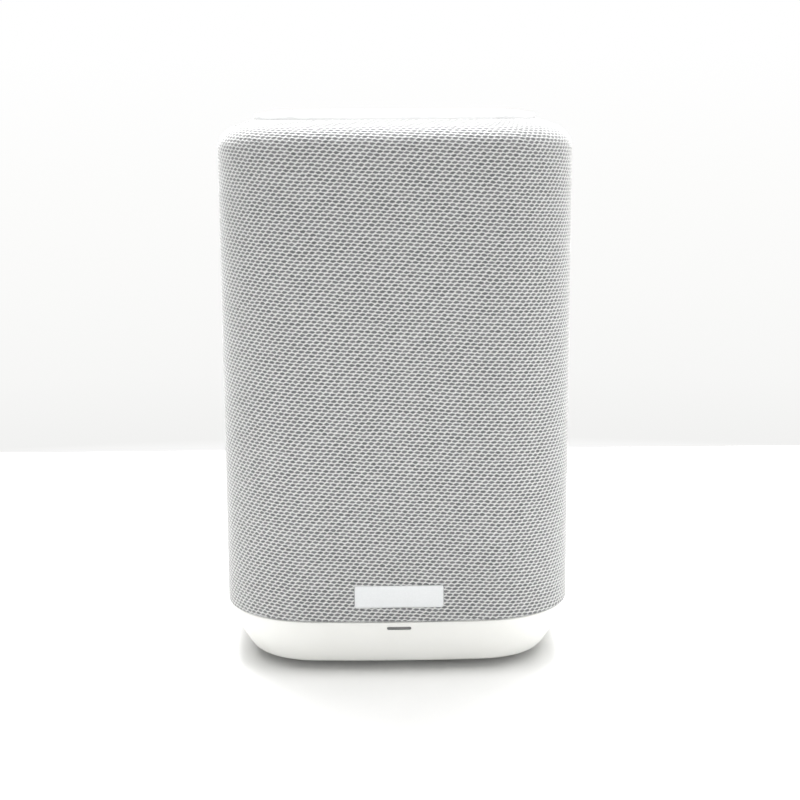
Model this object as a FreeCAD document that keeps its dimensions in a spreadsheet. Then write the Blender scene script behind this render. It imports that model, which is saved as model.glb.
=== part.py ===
"""A mains-powered smart speaker: a fabric-covered, softly square column on a white bowl-shaped base.

Frame: millimetres, +Z up, origin on the table under the middle of the speaker, front towards -Y.
Every size is a cell of the sheet "Sizes", and every sketch, pad, cut and placement is bound to
those cells.
"""

import FreeCAD, Part
import math
import os
import re

import Sketcher

# ---------------------------------------------------------------- driving dimensions (mm)

SIZES = dict(
    # the whole speaker
    body_width=120, body_depth=120, body_height=187,
    corner_radius=31.7, side_radius=450,
    # base bowl, lip and foot
    foot_height=2.6, foot_inset=17, foot_edge=0.6, base_top=19.4, base_wall=2.2,
    base_top_inset=0.8, base_middle_inset=3.7, base_bottom_inset=7.9, base_edge=1.6,
    lip_wall=2, lip_height=4, lip_depth=4, lip_clearance=0.25,
    # fabric sleeve and the slotted grille under it
    hem_gap=0.2, fabric_thickness=0.8, fabric_clearance=0.1, grille_wall=1.8,
    shoulder_drop=7, shoulder_rise=4.1, shoulder_radius=8,
    slot_width=3.2, slot_height=62, front_slots=13, side_slots=11, front_slot_span=76,
    side_slot_span=52, slot_low=34, slot_high=104,
    # badge plate
    badge_width=29.5, badge_height=7.4, badge_proud=0.2, badge_centre=28.4, badge_corner=0.7,
    badge_gap=0.3,
    # touch panel and the stack under it
    panel_inset=12, panel_gap=0.3, panel_skirt=4.4, panel_plate=2.4, panel_edge=0.8, panel_wall=2.2,
    panel_crown=1.5, panel_slope=11.5,
    guide_thickness=1.8, touch_board_thickness=1.2, stack_clearance=0.2, carrier_plate=2.5,
    carrier_wall=1.8, carrier_inset=9, carrier_screw_side=24, carrier_screw_front=30,
    carrier_screw_rear=10, microphone_size=3, microphone_rise=1, microphone_place=32,
    # sealed cabinet
    cabinet_gap=1.3, cabinet_wall=3, baffle_setback=15, baffle_wall=6, rear_bay=28,
    cabinet_split=-20, seal_thickness=1.5, cabinet_top_gap=13, boss_radius=4.5, boss_inset=18,
    boss_rise=9, boss_depth=11, boss_height=7,
    # screws
    screw_radius=1.5, screw_head_radius=2.7, screw_head=1.8, screw_clearance=0.1, screw_slot=0.8,
    screw_relief=0.75,
    base_screw_side=30, base_screw_front=26, base_screw_rear=10, base_screw_length=24,
    case_screw_length=32, short_screw=8, board_screw=6,
    # woofer
    woofer_centre=73, woofer_diameter=89, woofer_flange=2, woofer_gasket=1, woofer_flange_width=7,
    woofer_screw_edge=2.9, woofer_clearance=0.25, basket_wall=1.2, basket_shoulder=5,
    spider_ledge=15, spider_ledge_width=3, spider_inset=8.3, basket_depth=22, basket_taper=13.5,
    basket_hole=16, basket_window=16, basket_windows=6, cone_depth=11.5, cone_wall=0.8,
    roll_inset=0.6, roll_width=6.9, rubber=0.6, surround_lip=1.6, coil_radius=13, coil_former=0.25,
    coil_winding=0.35, coil_length=20, coil_rise=0.6, winding_length=9, gap_plate=4,
    gap_clearance=0.25, pole_radius=12.4, magnet_radius=32, magnet_hole=17, magnet_thickness=10,
    yoke_radius=30, yoke_thickness=4, cap_radius=14.5, cap_curve=22, cap_wall=0.5, glue_gap=0.1,
    spider_wall=0.4, spider_waves=4, spider_bow=0.75,
    # tweeter
    tweeter_gap=5.5, tweeter_diameter=46, tweeter_flange=3, tweeter_mouth=16.5, tweeter_throat=15.3,
    tweeter_screw_circle=20.2, dome_radius=12, dome_curve=17, dome_wall=0.3, dome_roll=1.3,
    dome_rim=15.7, dome_room=1, tweeter_coil_length=5, tweeter_coil_wall=0.5,
    tweeter_plate_radius=17, tweeter_plate=2.4, tweeter_magnet=5, tweeter_magnet_hole=13.5,
    tweeter_pole=11.3, tweeter_pole_drop=1.2, tweeter_back=2.6,
    # boards behind the cabinet
    board_thickness=1.6, board_standoff=4, standoff_radius=3, board_half_width=42,
    power_board_low=28, power_board_high=52, main_board_low=61, main_board_high=92,
    amp_board_low=116, amp_board_high=162, board_screw_inset=4,
    # rear connector panel
    window_half_width=28, window_low=28, window_high=114, window_corner=8, panel_recess=7,
    rear_wall=2, rear_gap=0.3, rear_rim_drop=1.2, rear_flange=3, rear_screw_x=21.5,
    rear_screw_low=56.5, rear_screw_high=107, post_radius=3.3, connector_gap=0.2,
    # mounting insert
    insert_centre=101, insert_radius=5, insert_bore=2.6, insert_length=10, insert_boss=7.5,
    # sockets
    connector_row=71, network_place=-14.5, network_width=16, network_height=13.6,
    network_hole_width=11.9, network_hole_height=7.2, network_hole_depth=12, usb_place=3,
    usb_width=14.4, usb_height=7.2, usb_wall=0.8, usb_depth=13, usb_tongue=1.9,
    usb_tongue_width=11, usb_tongue_setback=1.2, aux_place=19.5, aux_radius=4.5, aux_bore=1.8,
    aux_depth=13, inlet_centre=39, inlet_width=22, inlet_height=14, inlet_hole_radius=4.1,
    inlet_hole_spacing=7.6, inlet_hole_depth=11, pin_radius=1.15, pin_spacing=8.6, pin_setback=2,
    pin_root=2,
    # push buttons and their switches
    button_row=85, button_place=12, button_radius=3, button_proud=0.8, button_edge=0.4,
    button_flange=4, button_flange_wall=1.2, button_clearance=0.15, button_stem=1.6,
    switch_size=6, switch_height=3.5, switch_bore=1.9, switch_well=2.2, stem_reach=0.3,
    # status light
    light_drop=2.4, light_width=8.2, light_slot=1.2, light_clearance=0.05, light_setback=0.75,
    light_flange=1, light_board_width=20, light_board_height=7, light_lamp=1.2,
    # parts on the boards
    transformer_size=17, transformer_height=12, transformer_core=12, transformer_coil=10,
    transformer_step=1.6, transformer_place=-27, capacitor_radius=5.5,
    capacitor_length=17, capacitor_place=17.5, capacitor_pitch=11.5, chip_size=14, shield_height=2,
    shield_place=-31, module_place=32, module_length=9.4, module_height=2.4, heatsink_width=46,
    heatsink_height=26, heatsink_base=2, heatsink_fin=1.2, heatsink_fin_height=8, heatsink_fins=7, amp_chip=1.4,
    # antennas, leads, ribbon and wadding
    antenna_length=22, antenna_height=14, antenna_thickness=0.8, antenna_centre=150,
    antenna_gap=0.2, lead_radius=0.8, lead_pitch=4, woofer_lead_height=120, tweeter_lead_height=150,
    lead_bend=5, lead_gap=0.3, ribbon_width=10, ribbon_thickness=0.3, ribbon_place=13,
    ribbon_gap=1.6, ribbon_foot=86, wadding_thickness=12, wadding_width=80, wadding_rise=3.1,
    wadding_drop=7.2,
)  # fmt: skip

doc = FreeCAD.newDocument("smart_speaker")
sheet = doc.addObject("Spreadsheet::Sheet", "Sizes")
for row, (size_name, size) in enumerate(SIZES.items(), 1):
    sheet.set(f"A{row}", size_name)
    sheet.set(f"B{row}", str(size))
    sheet.setAlias(f"B{row}", size_name)
doc.recompute()

pieces = {}


def bound(text):
    """A formula written with bare size names, as an expression on the sheet's cells."""
    return re.sub(r"[a-z_]+", lambda m: f"Sizes.{m[0]}" if m[0] in SIZES else m[0], str(text))


def number(text):
    """What a formula comes to now, for a sketch's starting shape."""
    return float(sheet.evalExpression(bound(text)))


# ---------------------------------------------------------------- places shared by several pieces

GRILLE_OUTER = "(fabric_thickness + fabric_clearance)"
GRILLE_INNER = f"({GRILLE_OUTER} + grille_wall)"
HEM = "(base_top + hem_gap)"
SLOPE = "(shoulder_rise/panel_inset)"
SLANT = f"sqrt(1 + {SLOPE}*{SLOPE})"
CABINET_INSET = f"({GRILLE_INNER} + cabinet_gap)"
CABINET_BOTTOM = "(base_top + lip_height)"
CABINET_TOP = "(body_height - cabinet_top_gap)"
BAFFLE = "(-body_depth/2 + baffle_setback)"
CABINET_BACK = "(body_depth/2 - rear_bay)"
BOARD_BACK = f"({CABINET_BACK} + board_standoff)"
BOARD_FACE = f"({BOARD_BACK} + board_thickness)"
PANEL_FACE = "(body_depth/2 - panel_recess)"
PANEL_INSIDE = f"({PANEL_FACE} - rear_wall)"
SKIRT_FOOT = "(body_height - panel_skirt)"
GUIDE_TOP = "(body_height - panel_plate - stack_clearance)"
TOUCH_TOP = f"({GUIDE_TOP} - guide_thickness)"
TOUCH_BOTTOM = f"({TOUCH_TOP} - touch_board_thickness)"
STACK_INSET = "(panel_inset + panel_gap + panel_wall + stack_clearance)"
CARRIER_BOTTOM = f"({CABINET_TOP} + stack_clearance)"
CARRIER_TOP = f"({CARRIER_BOTTOM} + carrier_plate)"
LIGHT_HEIGHT = "(base_top - light_drop)"
LIGHT_FACE = "(-body_depth/2 + base_top_inset + light_setback)"
LIGHT_BACK = f"(-body_depth/2 + {GRILLE_INNER} + 2*lip_clearance + lip_wall)"
RIBBON_Y = f"({CABINET_BACK} + ribbon_gap)"
WOOFER_RECESS = "(woofer_flange + woofer_gasket)"
WOOFER_RIM = "(woofer_diameter/2 - woofer_flange_width)"
WOOFER_CIRCLE = "(woofer_diameter/2 - woofer_screw_edge)"
ROLL_OUTER = f"({WOOFER_RIM} - roll_inset)"
CONE_RADIUS = f"({ROLL_OUTER} - roll_width)"
SPIDER_RADIUS = f"({WOOFER_RIM} - spider_inset)"
BASKET_NECK = f"({WOOFER_RIM} - basket_taper)"
TWEETER_CENTRE = "(woofer_centre + woofer_diameter/2 + tweeter_gap + tweeter_diameter/2)"
COIL_OUTSIDE = "(coil_radius + coil_former)"
GAP_TOP = "(basket_depth + basket_wall)"
MAGNET_TOP = f"({GAP_TOP} + gap_plate)"
YOKE_TOP = f"({MAGNET_TOP} + magnet_thickness)"
TWEETER_TOP = "(tweeter_flange + dome_room)"
TWEETER_MAGNET_TOP = f"({TWEETER_TOP} + tweeter_plate)"
TWEETER_YOKE_TOP = f"({TWEETER_MAGNET_TOP} + tweeter_magnet)"
DOME_BASE = "(tweeter_flange + dome_room/2 - dome_wall/2)"
BOSS_LOW = f"({CABINET_BOTTOM} + boss_rise)"
BOSS_HIGH = f"({CABINET_TOP} - boss_rise)"
SCREW_HOLE = "(screw_radius + screw_clearance)"
HEAD_HOLE = "(screw_head_radius + screw_clearance)"
FRONT_ROW = "(-body_depth/2 + {0})"
REAR_ROW = f"({CABINET_BACK} - {{0}})"
SIDES = ("", "-")
SIDE_OF = "{0}(body_width/2 - {1})"


def four_places(side, front, rear):
    """Two screw places near the front and two near the back of the cabinet, as X and Y."""
    rows = FRONT_ROW.format(front), REAR_ROW.format(rear)
    return [(SIDE_OF.format(s, side), row) for row in rows for s in SIDES]


BASE_SCREWS = four_places("base_screw_side", "base_screw_front", "base_screw_rear")
CARRIER_SCREWS = four_places("carrier_screw_side", "carrier_screw_front", "carrier_screw_rear")
CASE_SCREWS = [(SIDE_OF.format(s, "boss_inset"), z) for s in SIDES for z in (BOSS_LOW, BOSS_HIGH)]
REAR_SCREWS = [(f"{s}rear_screw_x", z) for s in SIDES for z in ("rear_screw_low", "rear_screw_high")]
BOARDS = {
    "power_board": ("power_board_low", "power_board_high"),
    "main_board": ("main_board_low", "main_board_high"),
    "amplifier_board": ("amp_board_low", "amp_board_high"),
}
LEADS = [(f"{s}lead_pitch/2", z) for z in ("woofer_lead_height", "tweeter_lead_height") for s in SIDES]


def board_screws_of(low, high):
    """The four screw places of a board, as X and Z."""
    across = "(board_half_width - board_screw_inset)"
    rows = f"{low} + board_screw_inset", f"{high} - board_screw_inset"
    return [(f"{s}{across}", z) for s in SIDES for z in rows]


# ---------------------------------------------------------------- sketch helpers


def new_body(label):
    body = doc.addObject("PartDesign::Body", label)
    body.Label = label
    pieces[label] = body
    return body


def sketch_on(body, plane, offset):
    sketch = body.newObject("Sketcher::SketchObject", f"{body.Label}_sketch")
    origin_plane = next(f for f in body.Origin.OriginFeatures if f.Role == plane)
    sketch.AttachmentSupport = [(origin_plane, "")]
    sketch.MapMode = "FlatFace"
    sketch.setExpression("AttachmentOffset.Base.z", bound(offset))
    return sketch


def fix(sketch, kind, *where):
    """Adds a dimension whose last argument is a formula, and binds it."""
    *geometry, text = where
    index = sketch.addConstraint(Sketcher.Constraint(kind, *geometry, number(text)))
    sketch.setExpression(f"Constraints[{index}]", bound(text))


def pin(sketch, element, point, x, y):
    fix(sketch, "DistanceX", -1, 1, element, point, x)
    fix(sketch, "DistanceY", -1, 1, element, point, y)


def closed(*corners):
    """A drawing of a closed shape. A corner is (x, y), or (x, y, radius) to reach it by an arc:
    counter-clockwise for a positive radius, clockwise for a negative one."""

    def draw(sketch):
        at = [FreeCAD.Vector(number(c[0]), number(c[1]), 0) for c in corners]
        first = sketch.GeometryCount
        ends = []
        for i, corner in enumerate(corners):
            start, end = at[i - 1], at[i]
            if len(corner) == 2:
                sketch.addGeometry(Part.LineSegment(start, end))
                ends.append((1, 2))
                continue
            radius = number(corner[2])
            chord = end - start
            across = FreeCAD.Vector(-chord.y, chord.x, 0).normalize()
            reach = math.sqrt(max(radius**2 - chord.Length**2 / 4, 0))
            centre = (start + end) / 2 + across * math.copysign(reach, radius)
            circle = Part.Circle(centre, FreeCAD.Vector(0, 0, 1), abs(radius))
            turn = [math.atan2(p.y - centre.y, p.x - centre.x) for p in (start, end)]
            if radius < 0:
                turn.reverse()
            sketch.addGeometry(Part.ArcOfCircle(circle, *turn))
            ends.append((1, 2) if radius > 0 else (2, 1))
            size = corner[2] if radius > 0 else f"-({corner[2]})"
            fix(sketch, "Radius", first + i, size)
        for i, corner in enumerate(corners):
            after = (i + 1) % len(corners)
            joint = (first + i, ends[i][1], first + after, ends[after][0])
            sketch.addConstraint(Sketcher.Constraint("Coincident", *joint))
            pin(sketch, first + i, ends[i][1], corner[0], corner[1])

    return draw


def box(x_from, x_to, y_from, y_to):
    return closed((x_from, y_from), (x_to, y_from), (x_to, y_to), (x_from, y_to))


def around(x, y, half_x, half_y):
    return box(f"{x} - ({half_x})", f"{x} + {half_x}", f"{y} - ({half_y})", f"{y} + {half_y}")


def disc(x, y, radius):
    def draw(sketch):
        centre = FreeCAD.Vector(number(x), number(y), 0)
        index = sketch.addGeometry(Part.Circle(centre, FreeCAD.Vector(0, 0, 1), number(radius)))
        fix(sketch, "Radius", index, radius)
        pin(sketch, index, 3, x, y)

    return draw


def outline(inset):
    """The speaker's plan, drawn in by inset: four bowed sides joined by four round corners."""

    def draw(sketch):
        reach_x, reach_y = number("side_radius - body_width/2"), number("side_radius - body_depth/2")
        side = number(f"side_radius - ({inset})")
        corner = number(f"corner_radius - ({inset})")
        # a corner's centre is the same distance from the centres of both of its sides
        apart = math.hypot(reach_x, reach_y)
        lift = math.sqrt((side - corner) ** 2 - apart**2 / 4)
        corner_x = -reach_x / 2 + lift * reach_y / apart
        corner_y = -reach_y / 2 + lift * reach_x / apart
        low = math.atan2(corner_y, corner_x + reach_x)
        high = math.atan2(corner_y + reach_y, corner_x)
        turn = math.pi
        arcs = [
            (-reach_x, 0, side, -low, low),
            (corner_x, corner_y, corner, low, high),
            (0, -reach_y, side, high, turn - high),
            (-corner_x, corner_y, corner, turn - high, turn - low),
            (reach_x, 0, side, turn - low, turn + low),
            (-corner_x, -corner_y, corner, turn + low, turn + high),
            (0, reach_y, side, turn + high, 2 * turn - high),
            (corner_x, -corner_y, corner, 2 * turn - high, 2 * turn - low),
        ]
        first = sketch.GeometryCount
        for x, y, radius, start, end in arcs:
            circle = Part.Circle(FreeCAD.Vector(x, y, 0), FreeCAD.Vector(0, 0, 1), radius)
            sketch.addGeometry(Part.ArcOfCircle(circle, start, end))
        for i in range(8):
            joint = (first + i, 2, first + (i + 1) % 8, 1)
            sketch.addConstraint(Sketcher.Constraint("Tangent", *joint))
            name = "corner_radius" if i % 2 else "side_radius"
            fix(sketch, "Radius", first + i, f"{name} - ({inset})")
        centre_x, centre_y = "side_radius - body_width/2", "side_radius - body_depth/2"
        pin(sketch, first, 3, f"-({centre_x})", "0")
        pin(sketch, first + 2, 3, "0", f"-({centre_y})")
        pin(sketch, first + 4, 3, centre_x, "0")
        pin(sketch, first + 6, 3, "0", centre_y)

    return draw


# ---------------------------------------------------------------- feature helpers


def feature(body, kind, sketch, length):
    made = body.newObject(f"PartDesign::{kind}", f"{body.Label}_{kind.lower()}")
    made.Profile = sketch
    made.setExpression("Length", bound(length))
    sketch.Visibility = False
    return made


def settle(body, cuts=False, before=0.0):
    """Recomputes, and stops if a cut took nothing away."""
    doc.recompute()
    if cuts and body.Shape.Volume > before - 1e-6:
        raise RuntimeError(f"{body.Label}: a cut took nothing away")


def pad_up(body, bottom, top, *drawings):
    sketch = sketch_on(body, "XY_Plane", bottom)
    for draw in drawings:
        draw(sketch)
    feature(body, "Pad", sketch, f"({top}) - ({bottom})")
    settle(body)


def cut_down(body, bottom, top, *drawings):
    before = body.Shape.Volume
    sketch = sketch_on(body, "XY_Plane", top)
    for draw in drawings:
        draw(sketch)
    feature(body, "Pocket", sketch, f"({top}) - ({bottom})")
    settle(body, True, before)


def pad_back(body, front, back, *drawings):
    """A pad between two places along Y, drawn in X and Z. An XZ sketch faces -Y."""
    sketch = sketch_on(body, "XZ_Plane", f"-({back})")
    for draw in drawings:
        draw(sketch)
    feature(body, "Pad", sketch, f"({back}) - ({front})")
    settle(body)


def cut_back(body, front, back, *drawings):
    before = body.Shape.Volume
    sketch = sketch_on(body, "XZ_Plane", f"-({front})")
    for draw in drawings:
        draw(sketch)
    feature(body, "Pocket", sketch, f"({back}) - ({front})")
    settle(body, True, before)


def loft(body, kind, *sections):
    """A loft through plan outlines given as (height, inset)."""
    before = body.Shape.Volume if kind.startswith("Sub") else 0
    sketches = []
    for height, inset in sections:
        sketches.append(sketch_on(body, "XY_Plane", height))
        outline(inset)(sketches[-1])
    doc.recompute()
    made = body.newObject(f"PartDesign::{kind}", f"{body.Label}_loft")
    made.Profile = sketches[0]
    made.Sections = sketches[1:]
    made.Ruled = False
    settle(body, kind.startswith("Sub"), before)


def cut_across(body, left, right, *drawings):
    before = body.Shape.Volume
    sketch = sketch_on(body, "YZ_Plane", right)
    for draw in drawings:
        draw(sketch)
    feature(body, "Pocket", sketch, f"({right}) - ({left})")
    settle(body, True, before)


def repeat_along(body, span, count):
    """Repeats the body's last feature along its sketch's horizontal axis, over a span."""
    last = body.Tip
    pattern = body.newObject("PartDesign::LinearPattern", f"{body.Label}_row")
    pattern.Originals = [last]
    pattern.Direction = (last.Profile[0], ["H_Axis"])
    pattern.setExpression("Length", bound(span))
    pattern.Occurrences = count
    body.Tip = pattern
    settle(body)


FULL_TURN = 360
HALF_TURN = 180
QUARTER_TURN = 90


def turned(body, *corners):
    """A solid of revolution about the body's own Z, from a closed shape in radius and height."""
    sketch = sketch_on(body, "XZ_Plane", "0")
    closed(*corners)(sketch)
    made = body.newObject("PartDesign::Revolution", f"{body.Label}_turned")
    made.Profile = sketch
    made.ReferenceAxis = (sketch, ["V_Axis"])
    made.Angle = FULL_TURN
    settle(body)


def repeat_round(body, count):
    """Repeats the body's last feature about its own Z."""
    last = body.Tip
    pattern = body.newObject("PartDesign::PolarPattern", f"{body.Label}_pattern")
    pattern.Originals = [last]
    axis = next(f for f in body.Origin.OriginFeatures if f.Role == "Z_Axis")
    pattern.Axis = (axis, [""])
    pattern.Angle = FULL_TURN
    pattern.Occurrences = count
    body.Tip = pattern
    settle(body)


def round_edges(body, radius, chosen):
    """Fillets the edges of the body's last feature that chosen() picks."""
    base = body.Tip
    names = [f"Edge{i}" for i, edge in enumerate(base.Shape.Edges, 1) if chosen(edge)]
    if not names:
        raise RuntimeError(f"{body.Label}: no edge to round")
    made = body.newObject("PartDesign::Fillet", f"{body.Label}_round")
    made.Base = (base, names)
    made.setExpression("Radius", bound(radius))
    settle(body)


SLACK = 1e-4


def at_height(edge, height):
    box_of = edge.BoundBox
    return abs(box_of.ZMin - number(height)) < SLACK and abs(box_of.ZMax - number(height)) < SLACK


def place(body, x, y, z, facing="up"):
    """Puts a piece modelled about its own Z into the speaker. Facing front turns its Z to -Y."""
    turns = {"up": 0, "down": HALF_TURN, "front": QUARTER_TURN, "rear": -QUARTER_TURN}
    body.Placement.Rotation = FreeCAD.Rotation(FreeCAD.Vector(1, 0, 0), turns[facing])
    for axis, text in zip("xyz", (x, y, z)):
        body.setExpression(f"Placement.Base.{axis}", bound(text))
    doc.recompute()


def discs(places, radius):
    return [disc(x, y, radius) for x, y in places]


def tube(inner, outer, low, high):
    """Corners of a plain ring, in radius and height."""
    return [(inner, low), (outer, low), (outer, high), (inner, high)]


def rounded(x, y, half_x, half_y, corner):
    """A rectangle with round corners."""
    left, right = f"{x} - ({half_x})", f"{x} + {half_x}"
    low, high = f"{y} - ({half_y})", f"{y} + {half_y}"
    return closed(
        (f"{left} + {corner}", low, corner),
        (f"{right} - ({corner})", low),
        (right, f"{low} + {corner}", corner),
        (right, f"{high} - ({corner})"),
        (f"{right} - ({corner})", high, corner),
        (f"{left} + {corner}", high),
        (left, f"{high} - ({corner})", corner),
        (left, f"{low} + {corner}"),
    )


def stadium(x, y, width, height):
    """A slot with fully round ends, each of two quarter arcs."""
    end = f"({height})/2"
    left, right = f"{x} - (({width})/2 - {end})", f"{x} + (({width})/2 - {end})"
    low, high = f"{y} - {end}", f"{y} + {end}"
    return closed(
        (left, low, end),
        (right, low),
        (f"{right} + {end}", y, end),
        (right, high, end),
        (left, high),
        (f"{left} - {end}", y, end),
    )


def corners_of(x, y):
    """The four places at plus and minus x and y."""
    return [(f"{i}({x})", f"{j}({y})") for i in SIDES for j in SIDES]


def group(label, solids):
    """Several separate solids that share one node."""
    made = doc.addObject("Part::Compound", label)
    made.Label = label
    made.Links = solids
    pieces[label] = made
    doc.recompute()


def screws(label, places, length, facing):
    """Pan-head screws with a cross recess, one solid each. The underside of the head is at the
    place given, and the shank runs on from there; facing says which way the head looks."""
    made = []
    for x, y, z in places:
        head = doc.addObject("Part::Cylinder", f"{label}_head")
        head.setExpression("Radius", bound("screw_head_radius"))
        head.setExpression("Height", bound("screw_head"))
        shank = doc.addObject("Part::Cylinder", f"{label}_shank")
        shank.setExpression("Radius", bound("screw_radius"))
        shank.setExpression("Height", bound(length))
        shank.setExpression("Placement.Base.z", bound(f"-({length})"))
        whole = doc.addObject("Part::Fuse", f"{label}_blank")
        whole.Base, whole.Tool = head, shank
        bars = []
        for wide, narrow in (("screw_head_radius", "screw_slot"), ("screw_slot", "screw_head_radius")):
            bar = doc.addObject("Part::Box", f"{label}_bar")
            bar.setExpression("Length", bound(wide))
            bar.setExpression("Width", bound(narrow))
            bar.setExpression("Height", bound("screw_head"))
            bar.setExpression("Placement.Base.x", bound(f"-{wide}/2"))
            bar.setExpression("Placement.Base.y", bound(f"-{narrow}/2"))
            bar.setExpression("Placement.Base.z", bound("screw_head/2"))
            bars.append(bar)
        cross = doc.addObject("Part::Fuse", f"{label}_cross")
        cross.Base, cross.Tool = bars
        screw = doc.addObject("Part::Cut", f"{label}_screw")
        screw.Base, screw.Tool = whole, cross
        place(screw, x, y, z, facing)
        made.append(screw)
    group(label, made)


# ---------------------------------------------------------------- base


def base_shell():
    """White bowl that the column stands in, with a lip that plugs into the grille."""
    body = new_body("base_shell")
    foot, middle = "(foot_height + base_edge)", "(foot_height + base_top)/2"
    rounded_foot = ("foot_height", "base_bottom_inset + base_edge"), (foot, "base_bottom_inset")
    loft(body, "AdditiveLoft", *rounded_foot)
    sides = (middle, "base_middle_inset"), ("base_top", "base_top_inset")
    loft(body, "AdditiveLoft", (foot, "base_bottom_inset"), *sides)
    floor = ("foot_height + base_wall", "base_bottom_inset + base_wall")
    loft(body, "SubtractiveLoft", floor, *[(height, f"{inset} + base_wall") for height, inset in sides])
    lip = f"{GRILLE_INNER} + lip_clearance"
    pad_up(body, "base_top - lip_depth", CABINET_BOTTOM, outline(lip), outline(f"{lip} + lip_wall"))
    pad_up(body, "foot_height + base_wall/2", CABINET_BOTTOM, *discs(BASE_SCREWS, "boss_radius"))
    cut_down(body, "foot_height", CABINET_BOTTOM, *discs(BASE_SCREWS, SCREW_HOLE))
    cut_down(body, "foot_height", "foot_height + screw_head", *discs(BASE_SCREWS, HEAD_HOLE))
    cut_back(body, "-body_depth/2", LIGHT_BACK, stadium("0", LIGHT_HEIGHT, "light_width", "light_slot"))


def foot_pad():
    """Rubber pad that hides the base screws and that the speaker rests on."""
    body = new_body("foot_pad")
    pad_up(body, "0", "foot_height", outline("foot_inset"))
    round_edges(body, "foot_edge", lambda e: at_height(e, "0"))


def status_light():
    """Light bar in the base's slot, and the small board with its lamp close behind it."""
    lens = new_body("status_light_lens")
    wide, high = "light_width - 2*light_clearance", "light_slot - 2*light_clearance"
    bar = stadium("0", LIGHT_HEIGHT, wide, high)
    pad_back(lens, LIGHT_FACE, f"{LIGHT_BACK} + light_clearance", bar)
    collar = around("0", LIGHT_HEIGHT, "light_width/2 + light_flange", "light_slot/2 + light_flange")
    pad_back(lens, f"{LIGHT_BACK} + light_clearance", f"{LIGHT_BACK} + light_flange", collar)

    board = new_body("status_light_board")
    face = f"({LIGHT_BACK} + light_flange + light_lamp)"
    shape = around("0", LIGHT_HEIGHT, "light_board_width/2", "light_board_height/2")
    pad_back(board, face, f"{face} + board_thickness", shape)
    lamp = around("0", LIGHT_HEIGHT, "light_lamp", "light_slot/2")
    pad_back(board, f"{face} - light_lamp + light_clearance", face, lamp)


# ---------------------------------------------------------------- fabric sleeve and grille


def column(body, inset, foot):
    """The speaker from a foot height upwards, drawn in by inset: upright walls and a softly rounded
    shoulder that slopes up to the touch panel's edge."""
    edge = f"(body_height - shoulder_drop + {inset}*{SLOPE} - {inset}*{SLANT})"
    rim = f"(body_height - shoulder_drop + shoulder_rise - {inset}*{SLANT})"
    pad_up(body, foot, edge, outline(inset))
    loft(body, "AdditiveLoft", (edge, inset), (rim, "panel_inset"))
    round_edges(body, f"shoulder_radius - {inset}", lambda e: at_height(e, edge))


def sleeve(label, outside, inside, foot):
    """A column hollowed by a smaller one, and open at the top where the touch panel sits."""
    body = new_body(label)
    column(body, outside, foot)
    core = doc.addObject("PartDesign::Body", f"{label}_core")
    core.Label = f"{label}_core"
    column(core, inside, foot)
    before = body.Shape.Volume
    cut = body.newObject("PartDesign::Boolean", f"{label}_hollow")
    cut.Type = "Cut"
    cut.addObjects([core])
    settle(body, True, before)
    cut_down(body, CABINET_TOP, "body_height", outline("panel_inset"))
    cut_back(body, PANEL_INSIDE, "body_depth/2", window("0"))
    return body


def grille_frame():
    """Moulded frame under the fabric, slotted at the front and sides to let the sound out."""
    body = sleeve("grille_frame", GRILLE_OUTER, GRILLE_INNER, "base_top")
    wall = f"({GRILLE_INNER} + cabinet_gap/2)"
    for low in ("slot_low", "slot_high"):
        middle = f"{low} + slot_height/2"
        first = around("-front_slot_span/2", middle, "slot_width/2", "slot_height/2")
        cut_back(body, "-body_depth/2", f"-body_depth/2 + {wall}", first)
        repeat_along(body, "front_slot_span", SIZES["front_slots"])
        first = around("-side_slot_span/2", middle, "slot_width/2", "slot_height/2")
        cut_across(body, "-body_width/2", "body_width/2", first)
        repeat_along(body, "side_slot_span", SIZES["side_slots"])


def fabric_sleeve():
    """Knitted sleeve stretched over the grille, open at the rear panel and round the badge."""
    body = sleeve("fabric_sleeve", "0", "fabric_thickness", HEM)
    half, high = "badge_width/2 + badge_gap", "badge_height/2 + badge_gap"
    shape = rounded("0", "badge_centre", half, high, "badge_corner + badge_gap")
    cut_back(body, "-body_depth/2", f"-body_depth/2 + {GRILLE_INNER}", shape)


def badge_plate():
    """Plain plate let into the fabric, resting on the grille."""
    body = new_body("badge_plate")
    shape = rounded("0", "badge_centre", "badge_width/2", "badge_height/2", "badge_corner")
    pad_back(body, "-body_depth/2 - badge_proud", f"-body_depth/2 + {GRILLE_OUTER}", shape)


# ---------------------------------------------------------------- touch panel and the stack under it


def touch_panel():
    """Glossy top panel: a plate that falls away softly all round, and a skirt round its underside."""
    body = new_body("touch_panel")
    edge = "(panel_inset + panel_gap)"
    brow = "(body_height - panel_crown)"
    pad_up(body, SKIRT_FOOT, brow, outline(edge))
    halfway = ("body_height - panel_crown/4", f"{edge} + panel_slope/2")
    loft(body, "AdditiveLoft", (brow, edge), halfway, ("body_height", f"{edge} + panel_slope"))
    round_edges(body, "panel_edge", lambda e: at_height(e, brow))
    cut_down(body, SKIRT_FOOT, "body_height - panel_plate", outline(f"{edge} + panel_wall"))


def touch_stack():
    """Light guide and touch board under the panel, and the microphones on the board."""
    pad_up(new_body("light_guide"), TOUCH_TOP, GUIDE_TOP, outline(STACK_INSET))
    pad_up(new_body("touch_board"), TOUCH_BOTTOM, TOUCH_TOP, outline(STACK_INSET))
    places = corners_of("microphone_place", "microphone_place")
    group("microphones", [microphone(x, y) for x, y in places])


def microphone(x, y):
    body = doc.addObject("PartDesign::Body", "microphone")
    block = around(x, y, "microphone_size/2", "microphone_size/2")
    pad_up(body, f"{TOUCH_BOTTOM} - microphone_rise", TOUCH_BOTTOM, block)
    return body


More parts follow.
